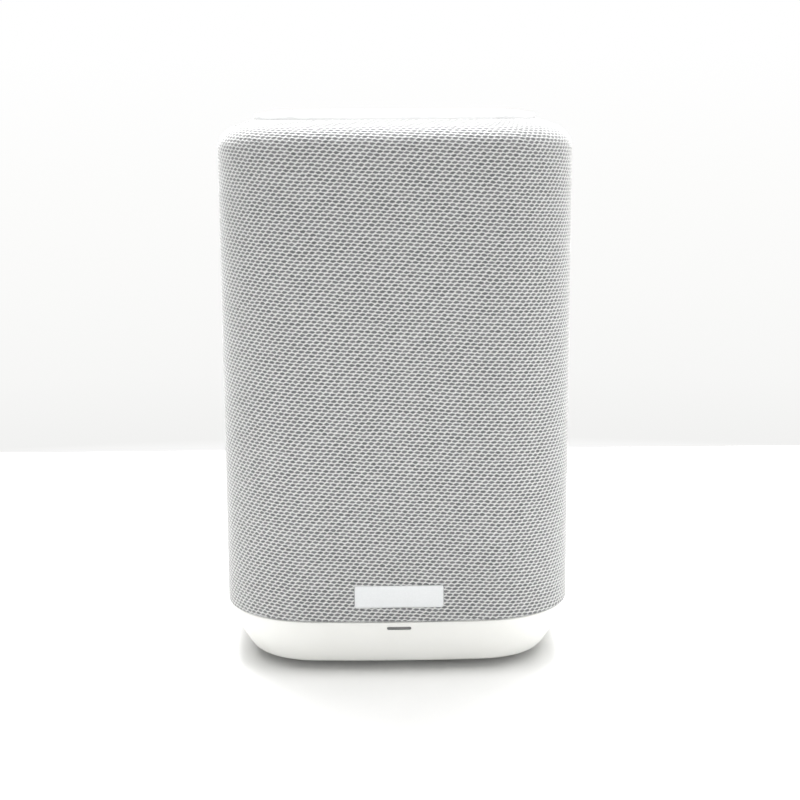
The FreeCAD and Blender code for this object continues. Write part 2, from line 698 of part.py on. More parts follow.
def top_carrier():
    """Plate screwed to the cabinet's top, with a wall that carries the touch board and the panel."""
    body = new_body("top_carrier")
    pad_up(body, CARRIER_BOTTOM, CARRIER_TOP, outline("carrier_inset"))
    edge = "(panel_inset + panel_gap)"
    pad_up(body, CARRIER_TOP, TOUCH_BOTTOM, outline(edge), outline(f"{STACK_INSET} + carrier_wall"))
    pad_up(body, TOUCH_BOTTOM, SKIRT_FOOT, outline(edge), outline(f"{STACK_INSET} - stack_clearance/2"))
    cut_down(body, CARRIER_BOTTOM, CARRIER_TOP, *discs(CARRIER_SCREWS, SCREW_HOLE))
    slot = around("ribbon_place", RIBBON_Y, "ribbon_width/2 + ribbon_gap", "ribbon_gap/2")
    cut_down(body, CARRIER_BOTTOM, CARRIER_TOP, slot)
    places = [(x, y, CARRIER_TOP) for x, y in CARRIER_SCREWS]
    screws("carrier_screws", places, "short_screw", "up")


# ---------------------------------------------------------------- sealed cabinet


def slab(body, inset, bottom, top, front, back):
    """The speaker's plan drawn in by inset, between two heights, cut off at a front and a back."""
    pad_up(body, bottom, top, outline(inset))
    reach = around("0", f"({bottom} + {top})/2", "body_width/2", f"({top} - {bottom})/2 + {inset}")
    cut_back(body, "-body_depth/2", front, reach)
    cut_back(body, back, "body_depth/2", reach)


def case_part(label, front, back, front_wall, back_wall):
    """A piece of the cabinet between two planes. A wall of 0 leaves that side open."""
    body = new_body(label)
    slab(body, CABINET_INSET, CABINET_BOTTOM, CABINET_TOP, front, back)
    core = doc.addObject("PartDesign::Body", f"{label}_core")
    core.Label = f"{label}_core"
    inside = f"({CABINET_INSET} + cabinet_wall)"
    low, high = f"({CABINET_BOTTOM} + cabinet_wall)", f"({CABINET_TOP} - cabinet_wall)"
    slab(core, inside, low, high, f"({front} + {front_wall})", f"({back} - {back_wall})")
    before = body.Shape.Volume
    cut = body.newObject("PartDesign::Boolean", f"{label}_hollow")
    cut.Type = "Cut"
    cut.addObjects([core])
    settle(body, True, before)
    return body


def cabinet():
    """Sealed box in two halves: the front one is the baffle, the rear one carries the electronics."""
    seam_front = "(cabinet_split - seal_thickness/2)"
    seam_back = "(cabinet_split + seal_thickness/2)"
    floor, roof = f"({CABINET_BOTTOM} + cabinet_wall)", f"({CABINET_TOP} - cabinet_wall)"
    hole_depth = "(boss_height + cabinet_wall/2)"

    front = case_part("cabinet_front", BAFFLE, seam_front, "baffle_wall", "0")
    rear = case_part("cabinet_rear", seam_back, CABINET_BACK, "0", "cabinet_wall")
    case_part("cabinet_seal", seam_front, seam_back, "0", "0")

    for body, chosen in ((front, slice(0, 2)), (rear, slice(2, 4))):
        low, high = BASE_SCREWS[chosen], CARRIER_SCREWS[chosen]
        pad_up(body, floor, f"{floor} + boss_height", *discs(low, "boss_radius"))
        pad_up(body, f"{roof} - boss_height", roof, *discs(high, "boss_radius"))
        cut_down(body, CABINET_BOTTOM, f"{CABINET_BOTTOM} + {hole_depth}", *discs(low, SCREW_HOLE))
        cut_down(body, f"{CABINET_TOP} - {hole_depth}", CABINET_TOP, *discs(high, SCREW_HOLE))

    pad_back(front, f"{BAFFLE} + baffle_wall/2", seam_front, *discs(CASE_SCREWS, "boss_radius"))
    cut_back(front, BAFFLE, seam_front, *discs(CASE_SCREWS, SCREW_HOLE))
    cut_back(front, BAFFLE, f"{BAFFLE} + screw_head", *discs(CASE_SCREWS, HEAD_HOLE))
    pad_back(rear, seam_back, f"{CABINET_BACK} - cabinet_wall/2", *discs(CASE_SCREWS, "boss_radius"))
    cut_back(rear, seam_back, f"{seam_back} + boss_depth", *discs(CASE_SCREWS, SCREW_HOLE))
    places = [(x, f"{BAFFLE} + screw_head", z) for x, z in CASE_SCREWS]
    screws("cabinet_screws", places, "case_screw_length", "front")

    seats = [
        ("woofer_centre", "woofer_diameter/2", WOOFER_RECESS),
        ("woofer_centre", WOOFER_RIM, "baffle_wall"),
        (TWEETER_CENTRE, "tweeter_diameter/2", "tweeter_flange"),
        (TWEETER_CENTRE, "tweeter_plate_radius", "baffle_wall"),
    ]
    for height, radius, depth in seats:
        cut_back(front, BAFFLE, f"{BAFFLE} + {depth}", disc("0", height, f"{radius} + woofer_clearance"))
    holes = driver_screw_places("woofer_centre", WOOFER_CIRCLE)
    holes += driver_screw_places(TWEETER_CENTRE, "tweeter_screw_circle")
    cut_back(front, BAFFLE, f"{BAFFLE} + baffle_wall", *discs(holes, SCREW_HOLE))

    for low, high in BOARDS.values():
        places = board_screws_of(low, high)
        pad_back(rear, CABINET_BACK, BOARD_BACK, *discs(places, "standoff_radius"))
        hole_end = f"{BOARD_FACE} - board_screw - screw_relief"
        cut_back(rear, hole_end, BOARD_BACK, *discs(places, SCREW_HOLE))
    pad_back(rear, CABINET_BACK, PANEL_INSIDE, *discs(REAR_SCREWS, "post_radius"))
    hole_end = f"{PANEL_FACE} - short_screw - screw_head"
    cut_back(rear, hole_end, PANEL_INSIDE, *discs(REAR_SCREWS, SCREW_HOLE))
    pad_back(rear, CABINET_BACK, PANEL_INSIDE, disc("0", "insert_centre", "insert_boss"))
    hole = disc("0", "insert_centre", "insert_radius + screw_clearance/2")
    cut_back(rear, f"{PANEL_FACE} - insert_length", PANEL_INSIDE, hole)
    wires = discs(LEADS, "lead_radius + lead_gap")
    cut_back(rear, f"{CABINET_BACK} - cabinet_wall", CABINET_BACK, *wires)


def wadding():
    """Block of polyester wadding against the cabinet's rear wall, between its lower screw posts and
    the woofer's leads."""
    back = f"({CABINET_BACK} - cabinet_wall - lead_gap)"
    low = f"{BOSS_LOW} + boss_radius + wadding_rise"
    high = "woofer_lead_height - lead_radius - wadding_drop"
    shape = box("-wadding_width/2", "wadding_width/2", low, high)
    pad_back(new_body("wadding"), f"{back} - wadding_thickness", back, shape)


# ---------------------------------------------------------------- woofer


def driver_screw_places(height, circle):
    """Four places at the corners of a square on a screw circle, as X and Z."""
    side = f"({circle}/sqrt(2))"
    return [(f"{i}{side}", f"{height} {j} {side}") for i in SIDES for j in "+-"]


def woofer_basket():
    """Pressed frame: flange, conical wall with windows, ledge for the spider, magnet seat."""
    body = new_body("woofer_basket")
    ledge_edge = f"({SPIDER_RADIUS} + glue_gap)"
    turned(
        body,
        (f"{WOOFER_RIM} - basket_wall", "0"),
        (f"{WOOFER_RIM} - basket_wall", "-basket_shoulder"),
        (ledge_edge, "-spider_ledge"),
        (f"{ledge_edge} - spider_ledge_width", "-spider_ledge"),
        (BASKET_NECK, "-basket_depth"),
        ("basket_hole", "-basket_depth"),
        ("basket_hole", f"-{GAP_TOP}"),
        (f"{BASKET_NECK} + basket_wall", f"-{GAP_TOP}"),
        (f"{ledge_edge} - spider_ledge_width + basket_wall", "-spider_ledge - basket_wall"),
        (f"{ledge_edge} + basket_wall", "-spider_ledge - basket_wall"),
        (WOOFER_RIM, "-basket_shoulder"),
        (WOOFER_RIM, "-woofer_flange"),
        ("woofer_diameter/2", "-woofer_flange"),
        ("woofer_diameter/2", "0"),
    )
    middle = f"({WOOFER_RIM} + {ledge_edge})/2 + basket_wall"
    opening = around(middle, "0", "spider_ledge_width", "basket_window/2")
    cut_down(body, "-spider_ledge + basket_wall", "-basket_shoulder - basket_wall", opening)
    repeat_round(body, SIZES["basket_windows"])
    side = f"({WOOFER_CIRCLE}/sqrt(2))"
    cut_down(body, "-woofer_flange", "0", *discs(corners_of(side, side), SCREW_HOLE))
    place(body, "0", BAFFLE, "woofer_centre", "front")

    ring = new_body("woofer_gasket")
    inner = f"{WOOFER_RIM} + woofer_clearance"
    turned(ring, *tube(inner, "woofer_diameter/2", f"-{WOOFER_RECESS}", "-woofer_flange"))
    cut_down(ring, f"-{WOOFER_RECESS}", "-woofer_flange", *discs(corners_of(side, side), SCREW_HOLE))
    place(ring, "0", BAFFLE, "woofer_centre", "front")
    places = [(x, BAFFLE, z) for x, z in driver_screw_places("woofer_centre", WOOFER_CIRCLE)]
    screws("woofer_screws", places, "short_screw", "front")


def woofer_motor():
    """Front plate, ferrite ring and yoke with its pole, stacked behind the basket."""
    hole = f"({COIL_OUTSIDE} + coil_winding + gap_clearance)"
    yoke_bottom = f"{YOKE_TOP} + yoke_thickness"
    turn_woofer("woofer_front_plate", tube(hole, "magnet_radius", f"-{MAGNET_TOP}", f"-{GAP_TOP}"))
    turn_woofer("woofer_magnet", tube("magnet_hole", "magnet_radius", f"-{YOKE_TOP}", f"-{MAGNET_TOP}"))
    turn_woofer(
        "woofer_yoke",
        [
            ("0", f"-({yoke_bottom})"),
            ("yoke_radius", f"-({yoke_bottom})"),
            ("yoke_radius", f"-{YOKE_TOP}"),
            ("pole_radius", f"-{YOKE_TOP}"),
            ("pole_radius", f"-{GAP_TOP}"),
            ("0", f"-{GAP_TOP}"),
        ],
    )


def turn_woofer(label, corners):
    body = new_body(label)
    turned(body, *corners)
    place(body, "0", BAFFLE, "woofer_centre", "front")


def woofer_cone():
    """What moves in the woofer: cone, dust cap and the voice coil on its former."""
    neck = f"({COIL_OUTSIDE} + glue_gap)"
    cone = [
        (CONE_RADIUS, "0"),
        (neck, "-cone_depth"),
        (neck, "-cone_depth - cone_wall"),
        (CONE_RADIUS, "-cone_wall"),
    ]
    turn_woofer("woofer_cone", cone)
    seat = f"(-cone_depth*({CONE_RADIUS} - cap_radius)/({CONE_RADIUS} - {neck}) + glue_gap)"
    crown = f"({seat} + cap_curve - sqrt(cap_curve*cap_curve - cap_radius*cap_radius))"
    inner = "(cap_curve - cap_wall)"
    inner_edge = "(cap_radius - cap_wall)"
    low = f"({crown} - cap_curve + sqrt({inner}*{inner} - {inner_edge}*{inner_edge}))"
    cap = [
        ("0", f"{crown} - cap_wall"),
        (inner_edge, low, f"-{inner}"),
        ("cap_radius", seat),
        ("0", crown, "cap_curve"),
    ]
    turn_woofer("woofer_dust_cap", cap)
    top = "(-cone_depth + coil_rise)"
    winding = f"(-{GAP_TOP} - gap_plate/2 + winding_length/2)"
    coil = [
        ("coil_radius", f"{top} - coil_length"),
        (COIL_OUTSIDE, f"{top} - coil_length"),
        (COIL_OUTSIDE, f"{winding} - winding_length"),
        (f"{COIL_OUTSIDE} + coil_winding", f"{winding} - winding_length"),
        (f"{COIL_OUTSIDE} + coil_winding", winding),
        (COIL_OUTSIDE, winding),
        (COIL_OUTSIDE, top),
        ("coil_radius", top),
    ]
    turn_woofer("woofer_voice_coil", coil)


def woofer_suspension():
    """Half-roll rubber surround at the cone's edge, and corrugated spider round the coil former."""
    roll = "(roll_width/2)"
    crown = f"({CONE_RADIUS} + {roll})"
    foot = f"sqrt({roll}*{roll} - rubber*rubber)"
    inside = f"({roll} - rubber)"
    surround = [
        (f"{CONE_RADIUS} - surround_lip", "0"),
        (f"{crown} - {inside}", "0"),
        (crown, inside, f"-{inside}"),
        (f"{crown} + {inside}", "0", f"-{inside}"),
        (f"{ROLL_OUTER} + surround_lip", "0"),
        (f"{ROLL_OUTER} + surround_lip", "rubber"),
        (f"{crown} + {foot}", "rubber"),
        (crown, roll, roll),
        (f"{crown} - {foot}", "rubber", roll),
        (f"{CONE_RADIUS} - surround_lip", "rubber"),
    ]
    turn_woofer("woofer_surround", surround)
    start = f"({COIL_OUTSIDE} + glue_gap + cone_wall)"
    step = f"(({SPIDER_RADIUS} - spider_ledge_width - {start})/(2*spider_waves))"
    curve = f"({step}*spider_bow)"
    low, high = "-spider_ledge", "(-spider_ledge + spider_wall)"
    hole = f"{COIL_OUTSIDE} + glue_gap"
    under, over = [(hole, low), (start, low)], [(f"{start} + 2*spider_waves*{step}", high)]
    for i in range(2 * SIZES["spider_waves"]):
        up = i % 2 == 0
        under.append((f"{start} + {i + 1}*{step}", low, f"-{curve}" if up else curve))
        over.insert(0, (f"{start} + {i}*{step}", high, curve if up else f"-{curve}"))
    ends = [(SPIDER_RADIUS, low), (SPIDER_RADIUS, high)]
    spider = under + ends + over[-1:] + over[:-1] + [(hole, high)]
    turn_woofer("woofer_spider", spider)


# ---------------------------------------------------------------- tweeter


def tweeter():
    """Soft-dome tweeter: faceplate, dome with its coil, and a small ferrite motor."""
    face = new_body("tweeter_faceplate")
    seat = "(dome_rim + dome_wall)"
    turned(
        face,
        ("tweeter_mouth", "0"),
        ("tweeter_throat", "-tweeter_flange"),
        (seat, "-tweeter_flange"),
        (seat, f"-{TWEETER_TOP}"),
        ("tweeter_plate_radius", f"-{TWEETER_TOP}"),
        ("tweeter_plate_radius", "-tweeter_flange"),
        ("tweeter_diameter/2", "-tweeter_flange"),
        ("tweeter_diameter/2", "0"),
    )
    side = "(tweeter_screw_circle/sqrt(2))"
    cut_down(face, "-tweeter_flange", "0", *discs(corners_of(side, side), SCREW_HOLE))
    place(face, "0", BAFFLE, TWEETER_CENTRE, "front")
    places = [(x, BAFFLE, z) for x, z in driver_screw_places(TWEETER_CENTRE, "tweeter_screw_circle")]
    screws("tweeter_screws", places, "short_screw", "front")

    base = f"(-{DOME_BASE})"
    drop = "sqrt(dome_curve*dome_curve - dome_radius*dome_radius)"
    inside = "(dome_roll - dome_wall)"
    inner, inner_edge = "(dome_curve - dome_wall)", "(dome_radius - dome_wall)"
    inner_low = f"({base} - {drop} + sqrt({inner}*{inner} - {inner_edge}*{inner_edge}))"
    dome = [
        ("0", f"{base} - {drop} + {inner}"),
        (inner_edge, inner_low, f"-{inner}"),
        (inner_edge, f"{base} - dome_wall"),
        ("dome_radius + dome_wall", f"{base} - dome_wall"),
        ("dome_radius + dome_wall", base),
        ("dome_radius + dome_roll", f"{base} + {inside}", f"-{inside}"),
        ("dome_radius + 2*dome_roll - dome_wall", base, f"-{inside}"),
        ("dome_radius + 2*dome_roll - dome_wall", f"{base} - dome_wall"),
        ("dome_rim", f"{base} - dome_wall"),
        ("dome_rim", base),
        ("dome_radius + 2*dome_roll", base),
        ("dome_radius + dome_roll", f"{base} + dome_roll", "dome_roll"),
        ("dome_radius", base, "dome_roll"),
        ("0", f"{base} - {drop} + dome_curve", "dome_curve"),
    ]
    turn_tweeter("tweeter_dome", dome)
    low = f"({base} - dome_wall - tweeter_coil_length)"
    outside = "dome_radius + tweeter_coil_wall - dome_wall"
    coil = tube("dome_radius - dome_wall", outside, low, f"{base} - dome_wall")
    turn_tweeter("tweeter_voice_coil", coil)
    hole = "(dome_radius + tweeter_coil_wall)"
    plate = tube(hole, "tweeter_plate_radius", f"-{TWEETER_MAGNET_TOP}", f"-{TWEETER_TOP}")
    turn_tweeter("tweeter_front_plate", plate)
    low, high = f"-{TWEETER_YOKE_TOP}", f"-{TWEETER_MAGNET_TOP}"
    ring = tube("tweeter_magnet_hole", "tweeter_plate_radius", low, high)
    turn_tweeter("tweeter_magnet", ring)
    back = f"(-{TWEETER_YOKE_TOP} - tweeter_back)"
    yoke = [
        ("0", back),
        ("tweeter_plate_radius", back),
        ("tweeter_plate_radius", f"-{TWEETER_YOKE_TOP}"),
        ("tweeter_pole", f"-{TWEETER_YOKE_TOP}"),
        ("tweeter_pole", f"-{TWEETER_TOP} - tweeter_pole_drop"),
        ("0", f"-{TWEETER_TOP} - tweeter_pole_drop"),
    ]
    turn_tweeter("tweeter_yoke", yoke)


def turn_tweeter(label, corners):
    body = new_body(label)
    turned(body, *corners)
    place(body, "0", BAFFLE, TWEETER_CENTRE, "front")


# ---------------------------------------------------------------- boards and what they carry


def boards():
    """Three boards on standoffs behind the cabinet, each held by four screws."""
    for label, (low, high) in BOARDS.items():
        board = new_body(label)
        plate = box("-board_half_width", "board_half_width", low, high)
        pad_back(board, BOARD_BACK, BOARD_FACE, plate)
        cut_back(board, BOARD_BACK, BOARD_FACE, *discs(board_screws_of(low, high), SCREW_HOLE))
        if label == "amplifier_board":
            on_board(board, "0", f"({low} + {high})/2", "chip_size/2", "chip_size/2", "amp_chip")
    places = []
    for low, high in BOARDS.values():
        places += [(x, BOARD_FACE, z) for x, z in board_screws_of(low, high)]
    screws("board_screws", places, "board_screw", "rear")


def on_board(body, x, z, half_x, half_z, rise):
    """A block standing on the rear face of a board."""
    pad_back(body, BOARD_FACE, f"{BOARD_FACE} + {rise}", around(x, z, half_x, half_z))


def board_parts():
    """Transformer, capacitors, processor shield, wireless module and heat sink."""
    power = "(power_board_low + power_board_high)/2"
    row = "(main_board_low + main_board_high)/2"
    amp = "(amp_board_low + amp_board_high)/2"
    half = "transformer_size/2"
    transformer, at = new_body("mains_transformer"), ("transformer_place", power)
    on_board(transformer, *at, "transformer_core/2", half, "transformer_height")
    on_board(transformer, *at, half, "transformer_coil/2", "transformer_height - transformer_step")
    cans = []
    for i in range(2):
        can = doc.addObject("Part::Cylinder", "filter_capacitor")
        can.setExpression("Radius", bound("capacitor_radius"))
        can.setExpression("Height", bound("capacitor_length"))
        base = f"{power} - capacitor_length/2"
        place(can, f"capacitor_place + {i}*capacitor_pitch", f"{BOARD_FACE} + capacitor_radius", base)
        cans.append(can)
    group("filter_capacitors", cans)
    shield, module = new_body("processor_shield"), new_body("wireless_module")
    on_board(shield, "shield_place", row, "chip_size/2", "chip_size/2", "shield_height")
    on_board(module, "module_place", row, "chip_size/2", "module_length/2", "module_height")

    sink = new_body("heat_sink")
    foot = f"({BOARD_FACE} + amp_chip)"
    shape = around("0", amp, "heatsink_width/2", "heatsink_height/2")
    pad_back(sink, foot, f"{foot} + heatsink_base", shape)
    span = "(heatsink_width - heatsink_fin)"
    fin = around(f"-{span}/2", amp, "heatsink_fin/2", "heatsink_height/2")
    pad_back(sink, f"{foot} + heatsink_base", f"{foot} + heatsink_base + heatsink_fin_height", fin)
    repeat_along(sink, span, SIZES["heatsink_fins"])


# ---------------------------------------------------------------- rear panel, sockets and buttons


def window(inset):
    """The opening in the back of the sleeve, drawn in by inset."""
    middle = "(window_low + window_high)/2"
    high = f"(window_high - window_low)/2 - ({inset})"
    return rounded("0", middle, f"window_half_width - ({inset})", high, f"window_corner - ({inset})")


def rear_panel():
    """Recessed tray with holes for the sockets, buttons and mounting insert."""
    body = new_body("rear_panel")
    pad_back(body, PANEL_INSIDE, PANEL_FACE, window("-rear_flange"))
    wall = (window("rear_gap"), window("rear_gap + rear_wall"))
    pad_back(body, PANEL_FACE, "body_depth/2 - rear_rim_drop", *wall)
    gap = "connector_gap"
    holes = [
        around("network_place", "connector_row", f"network_width/2 + {gap}", f"network_height/2 + {gap}"),
        around("usb_place", "connector_row", f"usb_width/2 + {gap}", f"usb_height/2 + {gap}"),
        disc("aux_place", "connector_row", f"aux_radius + {gap}"),
        around("0", "inlet_centre", f"inlet_width/2 + {gap}", f"inlet_height/2 + {gap}"),
        disc("0", "insert_centre", f"insert_radius + {gap}"),
        disc("button_place", "button_row", "button_radius + button_clearance"),
        disc("-button_place", "button_row", "button_radius + button_clearance"),
    ]
    cut_back(body, PANEL_INSIDE, PANEL_FACE, *holes, *discs(REAR_SCREWS, SCREW_HOLE))
    screws("rear_panel_screws", [(x, PANEL_FACE, z) for x, z in REAR_SCREWS], "short_screw", "rear")


def mounting_insert():
    """Threaded brass bush for a wall or stand bracket."""
    body = new_body("mounting_insert")
    ring = disc("0", "insert_centre", "insert_radius"), disc("0", "insert_centre", "insert_bore")
    pad_back(body, f"{PANEL_FACE} - insert_length", PANEL_FACE, *ring)


def sockets():
    """Network, USB and audio sockets on the main board, and the mains inlet with its pins."""
    row = "connector_row"
    network = new_body("network_socket")
    block = around("network_place", row, "network_width/2", "network_height/2")
    pad_back(network, BOARD_FACE, PANEL_FACE, block)
    hole = around("network_place", row, "network_hole_width/2", "network_hole_height/2")
    cut_back(network, f"{PANEL_FACE} - network_hole_depth", PANEL_FACE, hole)

    usb = new_body("usb_socket")
    pad_back(usb, BOARD_FACE, PANEL_FACE, around("usb_place", row, "usb_width/2", "usb_height/2"))
    hole = around("usb_place", row, "usb_width/2 - usb_wall", "usb_height/2 - usb_wall")
    cut_back(usb, f"{PANEL_FACE} - usb_depth", PANEL_FACE, hole)
    middle = f"{row} + usb_height/2 - usb_wall - usb_tongue"
    tongue = around("usb_place", middle, "usb_tongue_width/2", "usb_tongue/2")
    pad_back(usb, f"{PANEL_FACE} - usb_depth", f"{PANEL_FACE} - usb_tongue_setback", tongue)

    aux = new_body("audio_socket")
    pad_back(aux, BOARD_FACE, PANEL_FACE, disc("aux_place", row, "aux_radius"))
    cut_back(aux, f"{PANEL_FACE} - aux_depth", PANEL_FACE, disc("aux_place", row, "aux_bore"))

    inlet = new_body("mains_inlet")
    block = around("0", "inlet_centre", "inlet_width/2", "inlet_height/2")
    pad_back(inlet, BOARD_FACE, PANEL_FACE, block)
    wide = "inlet_hole_spacing + 2*inlet_hole_radius"
    hole = stadium("0", "inlet_centre", wide, "2*inlet_hole_radius")
    cut_back(inlet, f"{PANEL_FACE} - inlet_hole_depth", PANEL_FACE, hole)
    pins = [disc(f"{s}pin_spacing/2", "inlet_centre", "pin_radius") for s in SIDES]
    root = f"{PANEL_FACE} - inlet_hole_depth - pin_root"
    cut_back(inlet, root, f"{PANEL_FACE} - inlet_hole_depth", *pins)
    made = []
    for pin_shape in pins:
        made.append(doc.addObject("PartDesign::Body", "inlet_pin"))
        pad_back(made[-1], root, f"{PANEL_FACE} - pin_setback", pin_shape)
    group("inlet_pins", made)


def buttons():
    """Two sprung push buttons in the rear panel, and the switches that they press."""
    switches = []
    for label, x in (("connect_button", "-button_place"), ("bluetooth_button", "button_place")):
        button = new_body(label)
        top = f"{BOARD_FACE} + switch_height"
        under = f"({PANEL_INSIDE} - button_clearance)"
        flange = f"{under} - button_flange_wall"
        pad_back(button, f"{top} - stem_reach", flange, disc(x, "button_row", "button_stem"))
        pad_back(button, flange, under, disc(x, "button_row", "button_flange"))
        face = f"{PANEL_FACE} + button_proud"
        pad_back(button, under, face, disc(x, "button_row", "button_radius"))
        round_edges(button, "button_edge", lambda e: abs(e.BoundBox.YMin - number(face)) < SLACK)

        switch = doc.addObject("PartDesign::Body", "switch")
        on_board(switch, x, "button_row", "switch_size/2", "switch_size/2", "switch_height")
        cut_back(switch, f"{top} - switch_well", top, disc(x, "button_row", "switch_bore"))
        switches.append(switch)
    group("button_switches", switches)


# ---------------------------------------------------------------- antennas, leads and ribbon


def antennas():
    """A thin antenna board on each side of the cabinet, near its top."""
    made = []
    for side in SIDES:
        antenna = doc.addObject("Part::Box", "antenna")
        antenna.setExpression("Length", bound("antenna_thickness"))
        antenna.setExpression("Width", bound("antenna_length"))
        antenna.setExpression("Height", bound("antenna_height"))
        near = f"(body_width/2 - {CABINET_INSET} + antenna_gap)"
        left = near if not side else f"-({near} + antenna_thickness)"
        place(antenna, left, "-antenna_length/2", "antenna_centre - antenna_height/2")
        made.append(antenna)
    group("antennas", made)


def speaker_leads():
    """Two leads to the woofer, bent down to its basket, and two straight ones to the tweeter."""
    back = f"({BOARD_BACK} - lead_gap)"
    turn = f"({BAFFLE} + spider_ledge)"
    drop = f"(woofer_centre + {SPIDER_RADIUS} + glue_gap + basket_wall + lead_gap + lead_radius)"
    made = []
    for x in ("lead_pitch/2", "-lead_pitch/2"):
        long = rod("lead_radius", f"{back} - {turn} - lead_bend")
        place(long, x, f"{turn} + lead_bend", "woofer_lead_height", "rear")
        bend = doc.addObject("Part::Torus", "lead_bend")
        bend.setExpression("Radius1", bound("lead_bend"))
        bend.setExpression("Radius2", bound("lead_radius"))
        bend.Angle3 = QUARTER_TURN
        down = rod("lead_radius", f"woofer_lead_height - lead_bend - {drop}")
        place(down, x, turn, drop)
        upright = FreeCAD.Rotation(FreeCAD.Vector(0, 1, 0), QUARTER_TURN)
        bend.Placement.Rotation = upright * FreeCAD.Rotation(FreeCAD.Vector(0, 0, 1), HALF_TURN)
        for axis, text in zip("xyz", (x, f"{turn} + lead_bend", "woofer_lead_height - lead_bend")):
            bend.setExpression(f"Placement.Base.{axis}", bound(text))
        lead = doc.addObject("Part::MultiFuse", "lead")
        lead.Shapes = [long, bend, down]
        made.append(lead)
        front = f"({BAFFLE} + {TWEETER_YOKE_TOP} + tweeter_back + lead_gap)"
        straight = rod("lead_radius", f"{back} - {front}")
        place(straight, x, front, "tweeter_lead_height", "rear")
        made.append(straight)
    group("speaker_leads", made)


def rod(radius, length):
    made = doc.addObject("Part::Cylinder", "rod")
    made.setExpression("Radius", bound(radius))
    made.setExpression("Height", bound(length))
    return made


def ribbon_cable():
    """Flat cable from the touch board down behind the cabinet to the back of the main board."""
    body = new_body("ribbon_cable")
    strip = around("ribbon_place", RIBBON_Y, "ribbon_width/2", "ribbon_thickness/2")
    pad_up(body, "ribbon_foot", f"{TOUCH_BOTTOM} - stack_clearance", strip)
    left, right = "ribbon_place - ribbon_width/2", "ribbon_place + ribbon_width/2"
    tab = box(left, right, f"{RIBBON_Y} - ribbon_thickness/2", f"{BOARD_BACK} - stack_clearance")
    pad_up(body, "ribbon_foot - ribbon_thickness", "ribbon_foot", tab)


# ---------------------------------------------------------------- build, check and write

base_shell()
foot_pad()
status_light()
grille_frame()
fabric_sleeve()
badge_plate()
touch_panel()
touch_stack()
top_carrier()
cabinet()
wadding()
woofer_basket()
woofer_motor()
woofer_cone()
woofer_suspension()
tweeter()
boards()
board_parts()
rear_panel()
mounting_insert()
sockets()
buttons()
antennas()
speaker_leads()
ribbon_cable()
heads = [(x, y, "foot_height + screw_head") for x, y in BASE_SCREWS]
screws("base_screws", heads, "base_screw_length", "down")

doc.recompute()
faults = [obj.Name for obj in doc.Objects if {"Invalid", "Error"} & set(obj.State)]
for label, piece in pieces.items():
    if piece.Shape.isNull() or not piece.Shape.isValid() or not piece.Shape.Solids:
        faults.append(label)
if faults:
    raise RuntimeError(f"these objects failed: {faults}")

os.makedirs("parts", exist_ok=True)
for label, piece in pieces.items():
    piece.Shape.exportStep(f"parts/{label}.step")
    print(label, len(piece.Shape.Solids), round(piece.Shape.Volume, 1))
print(len(pieces), "pieces")
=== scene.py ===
# %% [markdown]
# # A smart speaker: knitted cloth, moulded white plastic and a glossy touch panel
#
# The speaker is a softly square column. A slotted inner frame carries a sleeve of knitted polyester, a white
# moulded bowl holds it off the table, and a glossy panel closes the top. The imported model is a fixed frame:
# this file gives each piece its finish, and rebuilds in mesh code the outer pieces whose surface shows most.
# Everything is in metres. The side that faces the listener looks along -Y, and up is +Z.

# %% Load the frame and note its box
import math

import bmesh
import bpy
from mathutils import Matrix, Vector


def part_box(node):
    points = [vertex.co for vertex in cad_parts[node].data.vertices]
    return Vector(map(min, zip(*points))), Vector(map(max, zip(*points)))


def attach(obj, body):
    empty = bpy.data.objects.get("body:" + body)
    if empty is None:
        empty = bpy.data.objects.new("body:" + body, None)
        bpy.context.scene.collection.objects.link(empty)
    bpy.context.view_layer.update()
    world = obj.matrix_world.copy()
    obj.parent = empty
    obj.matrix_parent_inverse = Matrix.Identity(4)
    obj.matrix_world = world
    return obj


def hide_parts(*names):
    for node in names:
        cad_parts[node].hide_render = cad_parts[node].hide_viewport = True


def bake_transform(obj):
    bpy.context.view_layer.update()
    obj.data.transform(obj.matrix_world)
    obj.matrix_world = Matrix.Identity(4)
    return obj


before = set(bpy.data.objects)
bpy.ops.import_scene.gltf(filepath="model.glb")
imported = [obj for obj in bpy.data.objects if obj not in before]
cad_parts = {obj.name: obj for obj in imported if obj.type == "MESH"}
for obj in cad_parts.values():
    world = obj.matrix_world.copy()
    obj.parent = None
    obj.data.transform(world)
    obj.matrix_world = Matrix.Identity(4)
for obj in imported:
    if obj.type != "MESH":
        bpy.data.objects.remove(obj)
scene = bpy.context.scene


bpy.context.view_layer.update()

# %% [markdown]
# ## The camera comes first
#
# A product shot is taken with a longish lens from a little above the object, so that the upright sides stay
# nearly upright. The camera is turned round Z to face the object, tipped down, and rolled by a hair.

# %% Camera
LENS_MM = 71.97
CAMERA_PLACE = (-0.0088, -0.5686, 0.1890)
CAMERA_TURN = math.radians(-1.065)
CAMERA_TIP = math.radians(90 - 10.507)
CAMERA_ROLL = math.radians(-0.308)


def link(thing):
    scene.collection.objects.link(thing)
    return thing


camera = link(bpy.data.objects.new("camera", bpy.data.cameras.new("camera")))
camera.data.sensor_width = 36
camera.data.lens = LENS_MM
turned = Matrix.Rotation(CAMERA_TURN, 4, "Z") @ Matrix.Rotation(CAMERA_TIP, 4, "X")
camera.matrix_world = Matrix.Translation(CAMERA_PLACE) @ turned @ Matrix.Rotation(CAMERA_ROLL, 4, "Z")
scene.camera = camera
print(f"camera {math.dist(CAMERA_PLACE, (0, 0, 0.09)):.3f} m from the middle of the speaker")

